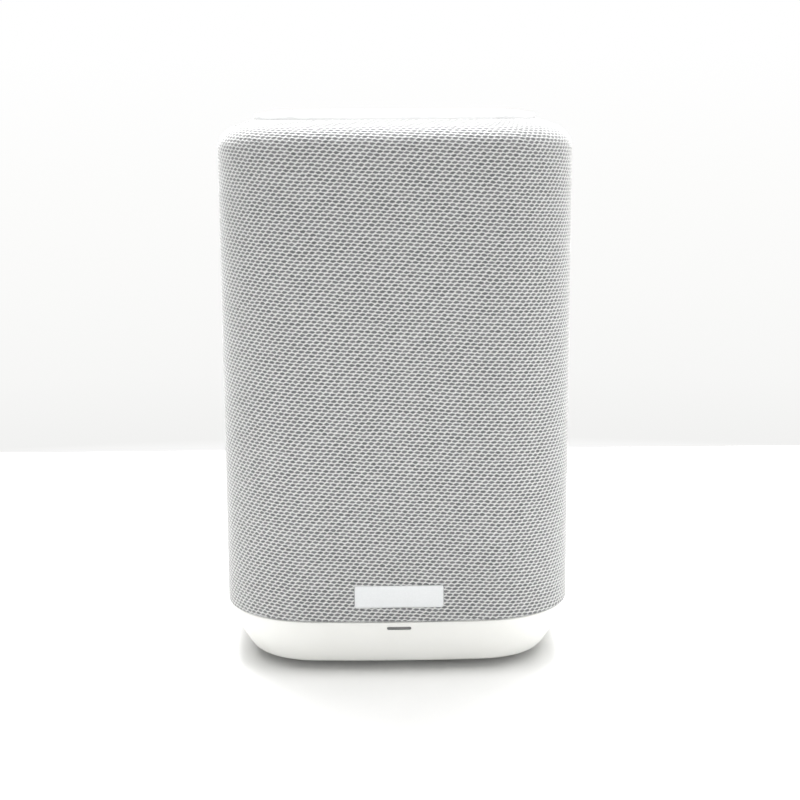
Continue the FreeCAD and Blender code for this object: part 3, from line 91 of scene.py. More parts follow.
# %% [markdown]
# ## The outline that every ring follows
#
# Seen from above the body is a rounded square. Each side is a slice of a very large circle, and a smaller
# circle joins two of them at a corner. Drawn further in, all circles keep their centres and lose the same
# radius, so the rings stay parallel. The outline starts in the middle of the back, where the seam is.

# %% The outline
MM = 0.001
HOUSING = "speaker_housing"
CORNER = 31.7 * MM
SIDE = 450 * MM
cloth_low, cloth_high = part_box("fabric_sleeve")
HALF = cloth_high.x

reach = SIDE - HALF
corner_at = (math.sqrt(2 * (SIDE - CORNER) ** 2 - reach**2) - reach) / 2
side_half_angle = math.atan2(corner_at, corner_at + reach)


def outline(inset, side_steps=28, corner_steps=24):
    """Points round the body, drawn in by inset, each with its distance round the widest ring."""
    straight, bend = side_half_angle, math.pi / 2 - side_half_angle
    side_of_body = (-reach, 0.0, SIDE, -straight, straight, side_steps)
    corner_of_body = (corner_at, corner_at, CORNER, straight, bend, corner_steps)
    runs = [(1, (-reach, 0.0, SIDE, 0.0, straight, side_steps // 2)), (1, corner_of_body)]
    for quarter in (2, 3, 4):
        runs += [(quarter, side_of_body), (quarter, corner_of_body)]
    runs.append((5, (-reach, 0.0, SIDE, -straight, 0.0, side_steps // 2)))
    points, travelled = [], 0.0
    for quarter, (x, y, radius, start, end, steps) in runs:
        for step in range(steps):
            angle = start + (end - start) * step / steps
            spot = Vector((x + (radius - inset) * math.cos(angle), y + (radius - inset) * math.sin(angle)))
            spot.rotate(Matrix.Rotation(quarter * math.pi / 2, 2))
            points.append((spot.x, spot.y, travelled))
            travelled += radius * (end - start) / steps
    return points, travelled


girth = outline(0)[1]
print(f"half width {HALF / MM:.2f} mm, corner centres at {corner_at / MM:.2f} mm, girth {girth / MM:.0f} mm")

# %% [markdown]
# ## Shells made of rings
#
# Sleeve, bowl and panel are one kind of thing: a profile carried round the outline. A profile is a list of
# (inset, height). Each of its points becomes a ring, and four-sided faces join neighbouring rings, which
# bend more smoothly than a block with rounded edges. Each face also keeps its place in the cloth's own
# millimetres, round the body and up it, which the knit is drawn with.

# %% Build a shell from a profile


def mesh_object(name, mesh):
    """An object with outward faces, made from a finished bmesh."""
    bmesh.ops.recalc_face_normals(mesh, faces=mesh.faces)
    data = bpy.data.meshes.new(name)
    mesh.to_mesh(data)
    mesh.free()
    return link(bpy.data.objects.new(name, data))


def smooth(piece, crease=30):
    """Smooth shading, with a crease wherever two faces meet at more than crease degrees."""
    piece.data.shade_smooth()
    piece.data.set_sharp_from_angle(angle=math.radians(crease))
    return piece


def join_rings(mesh, rings, closed=False, around=True):
    """Faces between neighbouring rings. The ends are capped, unless the last ring joins the first."""
    faces, count = [], len(rings[0])
    for low, high in zip(rings, rings[1:] + (rings[:1] if closed else [])):
        for i in range(count if around else count - 1):
            j = (i + 1) % count
            faces.append(mesh.faces.new((low[i], low[j], high[j], high[i])))
    if not closed:
        mesh.faces.new(rings[0])
        mesh.faces.new(rings[-1])
    return faces


def ringed_shell(name, profile, closed=False):
    """A profile carried round the outline."""
    mesh = bmesh.new()
    cloth_map = mesh.loops.layers.uv.new("Cloth")
    rings = [[mesh.verts.new((x, y, height)) for x, y, _ in outline(inset)[0]] for inset, height in profile]
    climbs = [0.0]
    for low, high in zip(profile, profile[1:]):
        climbs.append(climbs[-1] + math.dist(low, high))
    rounds = [travelled for _, _, travelled in outline(0)[0]] + [girth]
    for number, face in enumerate(join_rings(mesh, rings, closed)):
        low, i = divmod(number, len(rings[0]))
        high = (low + 1) % len(rings)
        for loop, (along, up) in zip(face.loops, ((i, low), (i + 1, low), (i + 1, high), (i, high))):
            loop[cloth_map].uv = (rounds[along] / MM, climbs[up] / MM)
    return mesh_object(name, mesh)


def arc(centre, radius, start, end, steps):
    """Profile points round a circle. 0 degrees points outward from the body, and 90 points up."""
    angles = [math.radians(start + (end - start) * step / steps) for step in range(steps + 1)]
    return [(centre[0] - radius * math.cos(a), centre[1] + radius * math.sin(a)) for a in angles]


def between(start, end, steps):
    """Evenly spaced profile points from start to end, without the ends themselves."""
    return [tuple(a + (b - a) * step / steps for a, b in zip(start, end)) for step in range(1, steps)]


def thickened(line, thickness, cap_steps=6):
    """The closed profile of a sheet whose middle follows a line, with a round edge at each end."""
    half = thickness / 2
    normals = []
    for i, _ in enumerate(line):
        a, b = line[max(i - 1, 0)], line[min(i + 1, len(line) - 1)]
        run = Vector((b[0] - a[0], b[1] - a[1])).normalized()
        normals.append(Vector((-run.y, run.x)))
    middles = [Vector(point) for point in line]
    outside = [point + normal * half for point, normal in zip(middles, normals)]
    inside = [point - normal * half for point, normal in zip(middles, normals)]
    caps = []
    for middle, normal in ((middles[-1], normals[-1]), (middles[0], -normals[0])):
        cap = []
        for step in range(1, cap_steps):
            side = normal.copy()
            side.rotate(Matrix.Rotation(-math.pi * step / cap_steps, 2))
            cap.append(middle + side * half)
        caps.append(cap)
    return [tuple(point) for point in outside + caps[0] + inside[::-1] + caps[1]]


# %% [markdown]
# ## Upright plates and turned parts
#
# Badge, cloth openings and status light are upright plates with round corners and a profile of (inset, Y)
# from front to back. Bores and bushes are turned: a profile of (radius, distance along) goes round an axis.
# Both are closed solids, so each can also serve as a cutter, which stands CUT_SPARE clear of what it cuts.

# %% Build plates, turned parts and cuts
SHARPEST = 0.01 * MM
WELD = 0.002 * MM
CUT_SPARE = 2 * MM


def upright_plate(name, centre, half_x, half_z, corner, profile, steps=10):
    """A closed plate whose outline stands in X and Z, with one ring for each (inset, y) of its profile."""
    mesh = bmesh.new()
    rings = []
    for inset, y in profile:
        ring = []
        radius = max(corner - inset, SHARPEST)
        for quarter, (sign_x, sign_z) in enumerate(((1, 1), (-1, 1), (-1, -1), (1, -1))):
            for step in range(steps + 1):
                angle = math.pi / 2 * (quarter + step / steps)
                x = centre[0] + sign_x * (half_x - inset - radius) + radius * math.cos(angle)
                z = centre[1] + sign_z * (half_z - inset - radius) + radius * math.sin(angle)
                ring.append(mesh.verts.new((x, y, z)))
        rings.append(ring)
    join_rings(mesh, rings)
    bmesh.ops.remove_doubles(mesh, verts=mesh.verts, dist=WELD)
    return mesh_object(name, mesh)


def turned_part(name, place, profile, axis="Y", steps=48, closed=False, turn=(0, 360)):
    """A profile of (radius, distance) turned about an axis through place. A closed profile makes a ring,
    or a wedge of a ring when turn names only part of a circle. A radius may be a function of the angle."""
    mesh = bmesh.new()
    start, end = (math.radians(angle) for angle in turn)
    whole = turn == (0, 360)
    angles = [start + (end - start) * step / steps for step in range(steps if whole else steps + 1)]
    rings = []
    for radius, along in profile:
        ring = []
        for angle in angles:
            reach = radius(angle) if callable(radius) else radius
            a, b = reach * math.cos(angle), reach * math.sin(angle)
            offset = (a, along, b) if axis == "Y" else (a, b, along)
            ring.append(mesh.verts.new(Vector(place) + Vector(offset)))
        rings.append(ring)
    join_rings(mesh, rings, closed, around=whole)
    if not whole:
        mesh.faces.new([ring[0] for ring in rings])
        mesh.faces.new([ring[-1] for ring in rings])
    return mesh_object(name, mesh)


def apply_modifiers(piece):
    bpy.context.view_layer.update()
    shaped = piece.evaluated_get(bpy.context.evaluated_depsgraph_get())
    data = bpy.data.meshes.new_from_object(shaped)
    piece.modifiers.clear()
    piece.data = data


def cut(piece, *cutters):
    """Cuts each closed solid out of a piece, and throws the solid away."""
    for cutter in cutters:
        boolean = piece.modifiers.new("cut", "BOOLEAN")
        boolean.operation = "DIFFERENCE"
        boolean.solver = "EXACT"
        boolean.object = cutter
        apply_modifiers(piece)
        bpy.data.objects.remove(cutter)


def middle_of(low, high):
    return (low + high) / 2


# %% [markdown]
# ## Colour and node helpers
#
# A hex colour is stored for the screen and not for light, and one function undoes that curve. Another adds,
# sets and feeds a node, so a material reads as a list of its layers. Patterns are measured in millimetres of
# the piece itself, so they never slide.

# %% Colour and node helpers


def paint(hex_code):
    """A hex colour as linear light, with alpha."""
    channels = [int(hex_code[i : i + 2], 16) / 255 for i in (1, 3, 5)]
    light = [c / 12.92 if c <= 0.04045 else ((c + 0.055) / 1.055) ** 2.4 for c in channels]
    return (*light, 1.0)


def add(tree, kind, feeds=None, **settings):
    """Adds a shader node, sets its properties, and gives each named or numbered socket a value or a link."""
    made = tree.nodes.new("ShaderNode" + kind)
    for name, value in settings.items():
        setattr(made, name, value)
    for key, value in (feeds or {}).items():
        if isinstance(value, bpy.types.Node):
            value = value.outputs[0]
        if isinstance(value, bpy.types.NodeSocket):
            tree.links.new(value, made.inputs[key])
        else:
            made.inputs[key].default_value = value
    return made


def new_finish(name, colour, roughness, **sockets):
    """A material with one Principled shader. What is even all over is set on the shader's own sockets."""
    finish = bpy.data.materials.new(name)
    finish.use_nodes = True
    shader = finish.node_tree.nodes["Principled BSDF"]
    shader.inputs["Base Color"].default_value = paint(colour)
    shader.inputs["Roughness"].default_value = roughness
    for socket, value in sockets.items():
        shader.inputs[socket.replace("_", " ")].default_value = value
    return finish, finish.node_tree, shader


def millimetres(tree, stretch=(1, 1, 1)):
    """The piece's own coordinates in millimetres, each divided by how far the pattern is stretched."""
    place = add(tree, "TexCoord").outputs["Object"]
    scale = [1000 / factor for factor in stretch]
    return add(tree, "VectorMath", {0: place, 1: scale}, operation="MULTIPLY")


def vary(tree, shader, pattern, socket, low, high):
    """Lets a pattern of 0 to 1 move a socket between two values, which are numbers or hex colours."""
    if isinstance(low, str):
        mix = add(tree, "Mix", {0: pattern, 6: paint(low), 7: paint(high)}, data_type="RGBA")
        tree.links.new(mix.outputs[2], shader.inputs[socket])
    else:
        spread = add(tree, "MapRange", {0: pattern, 3: low, 4: high})
        tree.links.new(spread.outputs[0], shader.inputs[socket])


def relief(tree, shader, pattern, depth_mm, strength=1.0):
    """Raises the surface by a pattern of 0 to 1, depth_mm high."""
    bump = add(tree, "Bump", {"Height": pattern, "Distance": depth_mm * MM, "Strength": strength})
    tree.links.new(bump.outputs[0], shader.inputs["Normal"])
    return bump


def ridges(tree, period_mm, across, distortion=0.0):
    """Straight ridges, period_mm apart. The wave node has 20 / tau ridges in a length of 1."""
    feeds = {"Vector": millimetres(tree), "Scale": math.tau / 20 / period_mm, "Distortion": distortion}
    return add(tree, "TexWave", feeds, bands_direction=across)


def grit(tree, size_mm, detail=2.0, stretch=(1, 1, 1)):
    """Noise whose lumps are about size_mm across."""
    feeds = {"Vector": millimetres(tree, stretch), "Scale": 1 / size_mm, "Detail": detail, "Roughness": 0.55}
    return add(tree, "TexNoise", feeds)


def grained(name, colour, roughness, tone=None, gloss=None, bumps=None, **sockets):
    """A finish whose colour, roughness and height each follow a noise of their own. tone and gloss are
    (size in mm, detail, low, high), and bumps is (size in mm, detail, depth in mm, strength)."""
    finish, tree, shader = new_finish(name, colour, roughness, **sockets)
    for socket, layer in (("Base Color", tone), ("Roughness", gloss)):
        if layer:
            vary(tree, shader, grit(tree, *layer[:2]), socket, *layer[2:])
    if bumps:
        relief(tree, shader, grit(tree, *bumps[:2]), *bumps[2:])
    return finish


# %% [markdown]
# ## Knitted polyester
#
# The sleeve is a warp-knit net of pale, slightly twisted yarn. Its openings are small lenses, wider than
# tall, in rows that run a few degrees off level because the tube was stretched on by hand. Two steps in
# millimetres, one along a row and one up to the next, say where every opening lies. Solving for how many of
# each a point is from the start tells which stitch it is in, and what is left over is its place in it. Noise
# pushes the stitches about, and loose fibre ends brighten the cloth where it is seen edge-on.
# The openings are painted dark for the frame and shade behind them; yarn crests carry a painted highlight.

# %% Knitted polyester
STEP_ALONG = (2.12, -0.13)
STEP_UP = (0.94, 1.05)
OPENING_HALF_WIDTH = 1.0
OPENING_HALF_HEIGHT = 0.42


def knitted_polyester():
    fuzz = dict(Sheen_Weight=1.0, Sheen_Roughness=0.4, Specular_IOR_Level=0.25)
    finish, tree, shader = new_finish("knitted_polyester", "#DEDFDE", 0.85, IOR=1.55, **fuzz)

    def at(a, op, b=0.0, c=0.0):
        return add(tree, "Math", {0: a, 1: b, 2: c}, operation=op)

    def vector(a, op, b):
        made = add(tree, "VectorMath", {0: a, 1: b}, operation=op)
        return made.outputs["Value"] if op == "DOT_PRODUCT" else made.outputs["Vector"]

    def fade(value, start, end, low, high):
        limits = {0: value, 1: start, 2: end, 3: low, 4: high}
        return add(tree, "MapRange", limits, interpolation_type="SMOOTHSTEP")

    def blend_of(fac, low, high):
        low, high = (paint(end) if isinstance(end, str) else end for end in (low, high))
        return add(tree, "Mix", {0: fac, 6: low, 7: high}, data_type="RGBA").outputs[2]

    cloth = add(tree, "UVMap", uv_map="Cloth").outputs[0]
    wander = cloth
    for size, shift in ((9.0, 0.5), (2.4, 0.35), (0.8, 0.42)):
        noise = add(tree, "TexNoise", {"Vector": cloth, "Scale": 1 / size, "Detail": 1.0})
        push = vector(noise.outputs["Color"], "SUBTRACT", (0.5, 0.5, 0.5))
        wander = vector(wander, "ADD", vector(push, "MULTIPLY", (shift, shift, 0)))

    area = STEP_ALONG[0] * STEP_UP[1] - STEP_ALONG[1] * STEP_UP[0]
    u = vector(wander, "DOT_PRODUCT", (STEP_UP[1] / area, -STEP_UP[0] / area, 0))
    v = vector(wander, "DOT_PRODUCT", (-STEP_ALONG[1] / area, STEP_ALONG[0] / area, 0))
    stitch = add(tree, "CombineXYZ", {0: at(u, "FLOOR"), 1: at(v, "FLOOR")})
    chance = add(tree, "TexWhiteNoise", {"Vector": stitch}, noise_dimensions="3D").outputs["Value"]
    in_stitch = [at(at(steps, "FRACT"), "SUBTRACT", 0.5) for steps in (u, v)]
    place = add(tree, "CombineXYZ", dict(enumerate(in_stitch)))
    across = vector(place, "DOT_PRODUCT", (STEP_ALONG[0], STEP_UP[0], 0))
    upward = vector(place, "DOT_PRODUCT", (STEP_ALONG[1], STEP_UP[1], 0))
    wide = at(across, "DIVIDE", OPENING_HALF_WIDTH)
    tall = at(at(upward, "ABSOLUTE"), "DIVIDE", OPENING_HALF_HEIGHT)
    from_opening = at(at(wide, "MULTIPLY", wide), "ADD", tall)

    # Painted shade: each opening is painted dark, for the dark frame behind the cloth and the shade it lies
    # in.
    opening = fade(from_opening, 0.55, 1.45, 1.0, 0.0)
    depth = at(opening, "MULTIPLY", at(chance, "MULTIPLY_ADD", 0.18, 0.82))
    spun = vector(wander, "MULTIPLY", (1.6, 7.0, 1.0))
    fibre = add(tree, "TexNoise", {"Vector": spun, "Scale": 1.4, "Detail": 3.0})
    # Painted highlight: the yarn is painted lighter on its crests, away from the openings; the crest also
    # raises the bump.
    yarn_crest_and_painted_highlight = fade(from_opening, 0.3, 2.4, 0.0, 1.0)
    tone = at(at(fibre, "MULTIPLY", 0.6), "ADD", at(yarn_crest_and_painted_highlight, "MULTIPLY", 0.6))
    net = blend_of(depth, blend_of(tone, "#A0A1A1", "#E2E2E1"), "#616263")
    tree.links.new(net, shader.inputs["Base Color"])
    strands = at(fibre, "MULTIPLY_ADD", 0.18, yarn_crest_and_painted_highlight)
    relief(tree, shader, strands, 0.3, 0.8)
    return finish


# %% [markdown]
# ## Moulded white plastic
#
# Bowl, rear tray and buttons are ABS, injection moulded in a tool whose faces were spark eroded. That leaves
# a very fine even grain, which keeps the plastic from shining. Its colour drifts faintly in 14 mm patches.

# %% Moulded plastics


def moulded_plastic(name, colour, tint, roughness, grain_mm=0.35, ior=1.54):
    """Grained plastic. The grain breaks up the mirror, so the specular level is below the usual 0.5."""
    # A faint colour drift between colour and tint, in patches about 14 mm across.
    tone_drift = (14, 1.0, colour, tint)
    gloss = (grain_mm, 2.0, roughness - 0.05, roughness + 0.07)
    bumps = (grain_mm, 2.0, 0.012, 0.5)
    return grained(name, colour, roughness, tone_drift, gloss, bumps, IOR=ior, Specular_IOR_Level=0.3)


def gloss_panel():
    """Acrylic from a polished tool: it mirrors the room with a slow ripple, and light soaks through it,
    so that its edge glows as white as its top."""
    soak = dict(Subsurface_Weight=0.6, Subsurface_Radius=(1.0, 1.0, 1.0), Subsurface_Scale=3 * MM)
    coat = dict(IOR=1.49, Coat_Weight=0.3, Coat_Roughness=0.03)
    tone, gloss, bumps = (20, 1.0, "#F1F2F2", "#F5F6F6"), (6, 3.0, 0.04, 0.09), (9, 1.0, 0.01, 0.4)
    return grained("polished_acrylic", "#F3F4F4", 0.06, tone, gloss, bumps, **coat, **soak)


def satin_paint():
    """Aluminium plate, sprayed with satin silver-white paint: an even coat with a pearl's fine speckle."""
    coat = dict(IOR=1.5, Coat_Weight=0.15, Coat_Roughness=0.2)
    tone, gloss, bumps = (0.5, 2.0, "#D6D8D9", "#DFE1E2"), (1.5, 2.0, 0.33, 0.44), (0.6, 1.0, 0.006, 0.5)
    return grained("satin_paint_on_aluminium", "#DBDDDE", 0.38, tone, gloss, bumps, **coat)


def smoked_light_bar():
    """Smoked polycarbonate: a translucent grey bar that hides the lamp until it is lit."""
    tone, gloss = (0.8, 2.0, "#626261", "#6F6F6E"), (0.4, 2.0, 0.24, 0.36)
    return grained("smoked_polycarbonate", "#686867", 0.3, tone, gloss, IOR=1.585)


def frosted_guide():
    """Clear acrylic with a frosted face, which spreads the light of the lamps evenly."""
    frost = dict(gloss=(0.3, 2.0, 0.28, 0.45), bumps=(0.3, 2.0, 0.02, 0.5))
    return grained("frosted_acrylic", "#F2F6F6", 0.35, **frost, IOR=1.49, Transmission_Weight=0.85)


def soft_rubber(name, colour, tint, roughness=0.78):
    """Moulded elastomer: matt, with dust-fine pits and a faint bloom that is paler in patches."""
    bloom, pits = (5, 3.0, colour, tint), (0.4, 3.0, 0.03, 0.6)
    return grained(name, colour, roughness, bloom, None, pits, IOR=1.52, Sheen_Weight=0.15)


# %% [markdown]
# ## Boards, foam and wadding
#
# A circuit board is glass cloth in epoxy under green solder resist, with copper tracks showing paler through
# it, drawn as a pattern of square cells. Foam is closed cells, and wadding is long pale fibres.

# %% Boards, foam and wadding


def solder_resist():
    finish, tree, shader = new_finish("green_solder_resist", "#1F5A37", 0.35, IOR=1.5)
    place = millimetres(tree)
    cells = {"Vector": place, "Scale": 0.55}
    tracks = add(tree, "TexVoronoi", cells, distance="CHEBYCHEV", feature="F1")
    edge = add(tree, "MapRange", {0: tracks.outputs["Distance"], 1: 0.42, 2: 0.47, 3: 0.0, 4: 1.0})
    vary(tree, shader, edge, "Base Color", "#17492C", "#2F7A4C")
    vary(tree, shader, grit(tree, 1.0), "Roughness", 0.28, 0.42)
    relief(tree, shader, edge, 0.03, 0.6)
    return finish


def closed_cell_foam():
    finish, tree, shader = new_finish("closed_cell_foam", "#2B2C2E", 0.9, IOR=1.45)
    cells = add(tree, "TexVoronoi", {"Vector": millimetres(tree), "Scale": 1 / 0.5}, feature="F1")
    # Painted shade: each cell is painted darker in its hollow middle, where the relief sinks, and lighter at
    # its walls.
    vary(tree, shader, cells.outputs["Distance"], "Base Color", "#242527", "#3B3D40")
    relief(tree, shader, cells.outputs["Distance"], 0.15, 0.7)
    return finish


def polyester_wadding():
    fuzz = dict(IOR=1.5, Sheen_Weight=0.8, Sheen_Roughness=0.6)
    finish, tree, shader = new_finish("polyester_wadding", "#EDEDE9", 0.95, **fuzz)
    fibres = grit(tree, 0.5, 6.0, stretch=(5, 1, 1))
    clumps = grit(tree, 7.0, 4.0)
    vary(tree, shader, clumps, "Base Color", "#D9D9D4", "#F6F6F3")
    relief(tree, shader, fibres, 0.5, 0.8)
    return finish


# %% [markdown]
# ## Metals
#
# Metals are told apart by their colour and by how they were worked: turned parts show rings, rolled and
# stamped ones a fine grain one way, and plating a slight cloudiness.

# %% Metals


def worked_metal(name, colour, tint, roughness, grain_mm=0.5, stretch=(1, 1, 8), depth=0.01):
    finish, tree, shader = new_finish(name, colour, roughness, Metallic=1.0)
    grain = grit(tree, grain_mm, 3.0, stretch)
    vary(tree, shader, grit(tree, 6, 3.0), "Base Color", colour, tint)
    vary(tree, shader, grain, "Roughness", roughness - 0.07, roughness + 0.1)
    relief(tree, shader, grain, depth, 0.6)
    return finish


def sintered_ferrite():
    """Pressed and fired ceramic magnet: dark, dull and slightly granular, with worn pale specks."""
    specks, grains = (0.5, 4.0, "#232325", "#424245"), (0.4, 4.0, 0.04, 0.6)
    return grained("sintered_ferrite", "#2F2F31", 0.65, specks, None, grains, IOR=2.3)


def wound_copper():
    """Enamelled wire, wound in one layer: a ridge for every turn of a 0.3 mm wire."""
    finish, tree, shader = new_finish("enamelled_copper_wire", "#B4622F", 0.3, Metallic=1.0)
    turns = ridges(tree, 0.3, "Y", 0.1)
    # Painted shade: the colour follows the ridges, darker in the grooves between turns and lighter on their
    # crests.
    vary(tree, shader, turns, "Base Color", "#7E3F1C", "#C8743C")
    relief(tree, shader, turns, 0.08, 0.8)
    return finish


# %% [markdown]
# ## Paper, cloth and plastic inside
#
# The woofer's cone is pressed from paper pulp, the tweeter's dome and the woofer's spider from cloth that is
# dipped in resin, and the leads are sleeved in soft PVC.

# %% Paper, cloth and sleeving


def pressed_pulp():
    finish, tree, shader = new_finish("pressed_paper_pulp", "#232222", 0.8, IOR=1.5)
    fibres = grit(tree, 0.6, 5.0, stretch=(3, 1, 1))
    vary(tree, shader, fibres, "Base Color", "#1B1A1A", "#343231")
    relief(tree, shader, fibres, 0.08, 0.7)
    return finish


def dipped_cloth(name, dark, pale, thread_mm):
    """Plain-woven cloth under resin: threads one way show between threads the other way."""
    finish, tree, shader = new_finish(name, dark, 0.6, IOR=1.5)
    threads = add(tree, "TexChecker", {"Vector": millimetres(tree), "Scale": 1 / thread_mm})
    # Painted shade: the sunken threads are painted darker and the raised ones paler, on the same checker as
    # the relief.
    vary(tree, shader, threads.outputs["Fac"], "Base Color", dark, pale)
    relief(tree, shader, threads.outputs["Fac"], 0.05, 0.5)
    return finish


def soft_sleeving(name, colour, tint, roughness):
    """Thin plastic skin round wires and parts: an even gloss, dulled a little where it was handled."""
    tone, gloss = (3, 2.0, colour, tint), (0.7, 2.0, roughness - 0.06, roughness + 0.08)
    return grained(name, colour, roughness, tone, gloss, (0.6, 2.0, 0.01, 0.5), IOR=1.53)


def flat_ribbon():
    """Flexible flat cable: white film over tinned strips 1 mm apart, which show as ridges."""
    finish, tree, shader = new_finish("flexible_flat_cable", "#ECECE8", 0.4, IOR=1.57)
    strips = ridges(tree, 1.0, "X")
    # Painted shade: the colour is darker in the grooves between the strips and paler on their ridges.
    vary(tree, shader, strips, "Base Color", "#D6D6D2", "#F3F3F0")
    relief(tree, shader, strips, 0.06, 0.7)
    return finish


# %% [markdown]
# ## Give every slot its finish
#
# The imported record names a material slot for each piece. One table says which finish stands for each slot,
# and every frame node takes the finish of its own.

# %% Finishes by slot
finishes = {
    "knit_grey": knitted_polyester(),
    "moulded_white": moulded_plastic("spark_eroded_white_abs", "#ECECE8", "#F0F0ED", 0.42),
    "frame_dark": moulded_plastic("glass_filled_dark_abs", "#262729", "#303133", 0.6, 0.5),
    "socket_black": moulded_plastic("moulded_black_pbt", "#18191A", "#222325", 0.42, 0.3, 1.57),
    "gloss_white": gloss_panel(),
    "painted_plate": satin_paint(),
    "light_bar": smoked_light_bar(),
    "clear_guide": frosted_guide(),
    "rubber_grey": soft_rubber("moulded_grey_rubber", "#8E8F90", "#9A9B9C"),
    "circuit_board": solder_resist(),
    "seal_foam": closed_cell_foam(),
    "wadding_white": polyester_wadding(),
    "zinc_steel": worked_metal("zinc_plated_steel", "#BFC2C4", "#D2D2CC", 0.32),
    "black_steel": worked_metal("black_phosphated_steel", "#303235", "#3C3E41", 0.45),
    "nickel": worked_metal("nickel_plated_brass", "#C9C5BC", "#D8D5CE", 0.22),
    "brass_insert": worked_metal("turned_brass", "#C79A4B", "#D6AF66", 0.28, 0.3, (1, 6, 1)),
    "heat_sink_alloy": worked_metal("extruded_aluminium", "#B9BBBD", "#C9CACB", 0.4, 0.4, (1, 1, 14)),
    "ferrite": sintered_ferrite(),
    "cone_black": pressed_pulp(),
    "spider_cloth": dipped_cloth("resin_dipped_cotton", "#A5702F", "#C99A55", 0.7),
    "dome_silk": dipped_cloth("coated_silk", "#2B2622", "#413A34", 0.35),
    "copper_wire": wound_copper(),
    "core_yellow": soft_sleeving("polyester_transformer_tape", "#D9A514", "#E5B72C", 0.35),
    "capacitor_sleeve": soft_sleeving("capacitor_sleeving", "#1E2B4F", "#26355F", 0.3),
    "lead_jacket": soft_sleeving("pvc_lead_jacket", "#7C1D1B", "#8C2A26", 0.42),
    "ribbon_white": flat_ribbon(),
}
slot_of = {}
for node_name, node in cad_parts.items():
    slot_of[node_name] = node.data.materials[0].name
    for index in range(len(node.material_slots)):
        node.material_slots[index].material = finishes[slot_of[node_name]]
print(f"{len(finishes)} finishes on {len(slot_of)} frame nodes")


def dress(piece, node_name, body=HOUSING, replace=True):
    """Gives a piece the finish and the body of the frame node that it stands for."""
    slot = slot_of[node_name]
    piece.data.materials.clear()
    piece.data.materials.append(finishes[slot])
    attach(piece, body)
    if replace:
        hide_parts(node_name)
    return piece


# %% [markdown]
# ## The knitted sleeve
#
# The sleeve is a thin tube of cloth, pulled over the frame and held in a groove at each end. It is built as a
# real sheet: a line up the side and over the round shoulder is thickened into a thin loop and carried round
# the body. Cloth held this taut can't hang or crumple, so a swept surface is nearer the truth than a
# simulated one. The badge and the rear panel each have an opening.

# %% The knitted sleeve
CLOTH = 0.8 * MM
SHOULDER_DROP = 7 * MM
SHOULDER_RADIUS = 8 * MM
panel_low, panel_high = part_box("touch_panel")
badge_low, badge_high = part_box("badge_plate")
PANEL_INSET = 12 * MM
shoulder = panel_high.z - SHOULDER_DROP
shoulder_rise = cloth_high.z - shoulder
slope = math.atan2(shoulder_rise, PANEL_INSET)
tangent = SHOULDER_RADIUS * math.tan((math.pi / 2 - slope) / 2)
hem = cloth_low.z

bend_at = (SHOULDER_RADIUS, shoulder - tangent)
cloth_end = PANEL_INSET - CLOTH / 2
cloth_line = [(CLOTH / 2, hem + CLOTH / 2)]
cloth_line += between(cloth_line[0], (CLOTH / 2, bend_at[1]), 60)
cloth_line += arc(bend_at, SHOULDER_RADIUS - CLOTH / 2, 0, 90 - math.degrees(slope), 14)
rim = (cloth_end, shoulder + cloth_end * math.tan(slope) - CLOTH / 2 / math.cos(slope))
cloth_line += between(cloth_line[-1], rim, 8) + [rim]
sleeve = ringed_shell("knitted_sleeve", thickened(cloth_line, CLOTH), closed=True)

BADGE_GAP = 0.12 * MM
BADGE_CORNER = 0.7 * MM
badge_half_x = badge_high.x
badge_half_z = (badge_high.z - badge_low.z) / 2
badge_centre = (0, middle_of(badge_low.z, badge_high.z))
FRONT_CUT, BACK_CUT = 4 * MM, 8 * MM
front_cut = [(0, cloth_low.y - CUT_SPARE), (0, cloth_low.y + FRONT_CUT)]
badge_hole = [length + BADGE_GAP for length in (badge_half_x, badge_half_z, BADGE_CORNER)]
badge_opening = upright_plate("badge_opening", badge_centre, *badge_hole, front_cut)

WINDOW_HALF = 28 * MM
WINDOW_LOW, WINDOW_HIGH = 28 * MM, 114 * MM
WINDOW_CORNER = 8 * MM
window_centre = (0, middle_of(WINDOW_LOW, WINDOW_HIGH))
window_half_z = (WINDOW_HIGH - WINDOW_LOW) / 2
back_cut = [(0, cloth_high.y - BACK_CUT), (0, cloth_high.y + CUT_SPARE)]
window = upright_plate("window", window_centre, WINDOW_HALF, window_half_z, WINDOW_CORNER, back_cut)
cut(sleeve, badge_opening, window)
smooth(sleeve, 40)
dress(sleeve, "fabric_sleeve")

# %% [markdown]
# ## The bowl
#
# The base is one thick moulding. Its side swells from a small flat underside to just under the cloth's hem
# along a parabola through three widths. A round edge runs into the flat underside, and the rim is eased where
# the cloth meets it. The slot for the status light and the screws' bores are cut last.

# %% The bowl
base_low, base_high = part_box("base_shell")
lens_low, lens_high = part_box("status_light_lens")
FOOT = base_low.z
LIP_HEIGHT = 4 * MM
RIM = base_high.z - LIP_HEIGHT
WALL = 2.2 * MM
RIM_EASE = 0.45 * MM
EDGE = FOOT + 1.6 * MM
TURN_UNDER = 2.2 * MM
BOWL_WIDTHS = ((7.9 * MM, EDGE), (3.7 * MM, (FOOT + RIM) / 2), (0.8 * MM, RIM))


def bowl_inset(height):
    """The inset of the bowl's side at a height: the parabola through its three widths."""
    total = 0.0
    for i, (inset, level) in enumerate(BOWL_WIDTHS):
        share = inset
        for j, (_, other) in enumerate(BOWL_WIDTHS):
            if j != i:
                share *= (height - other) / (level - other)
        total += share
    return total


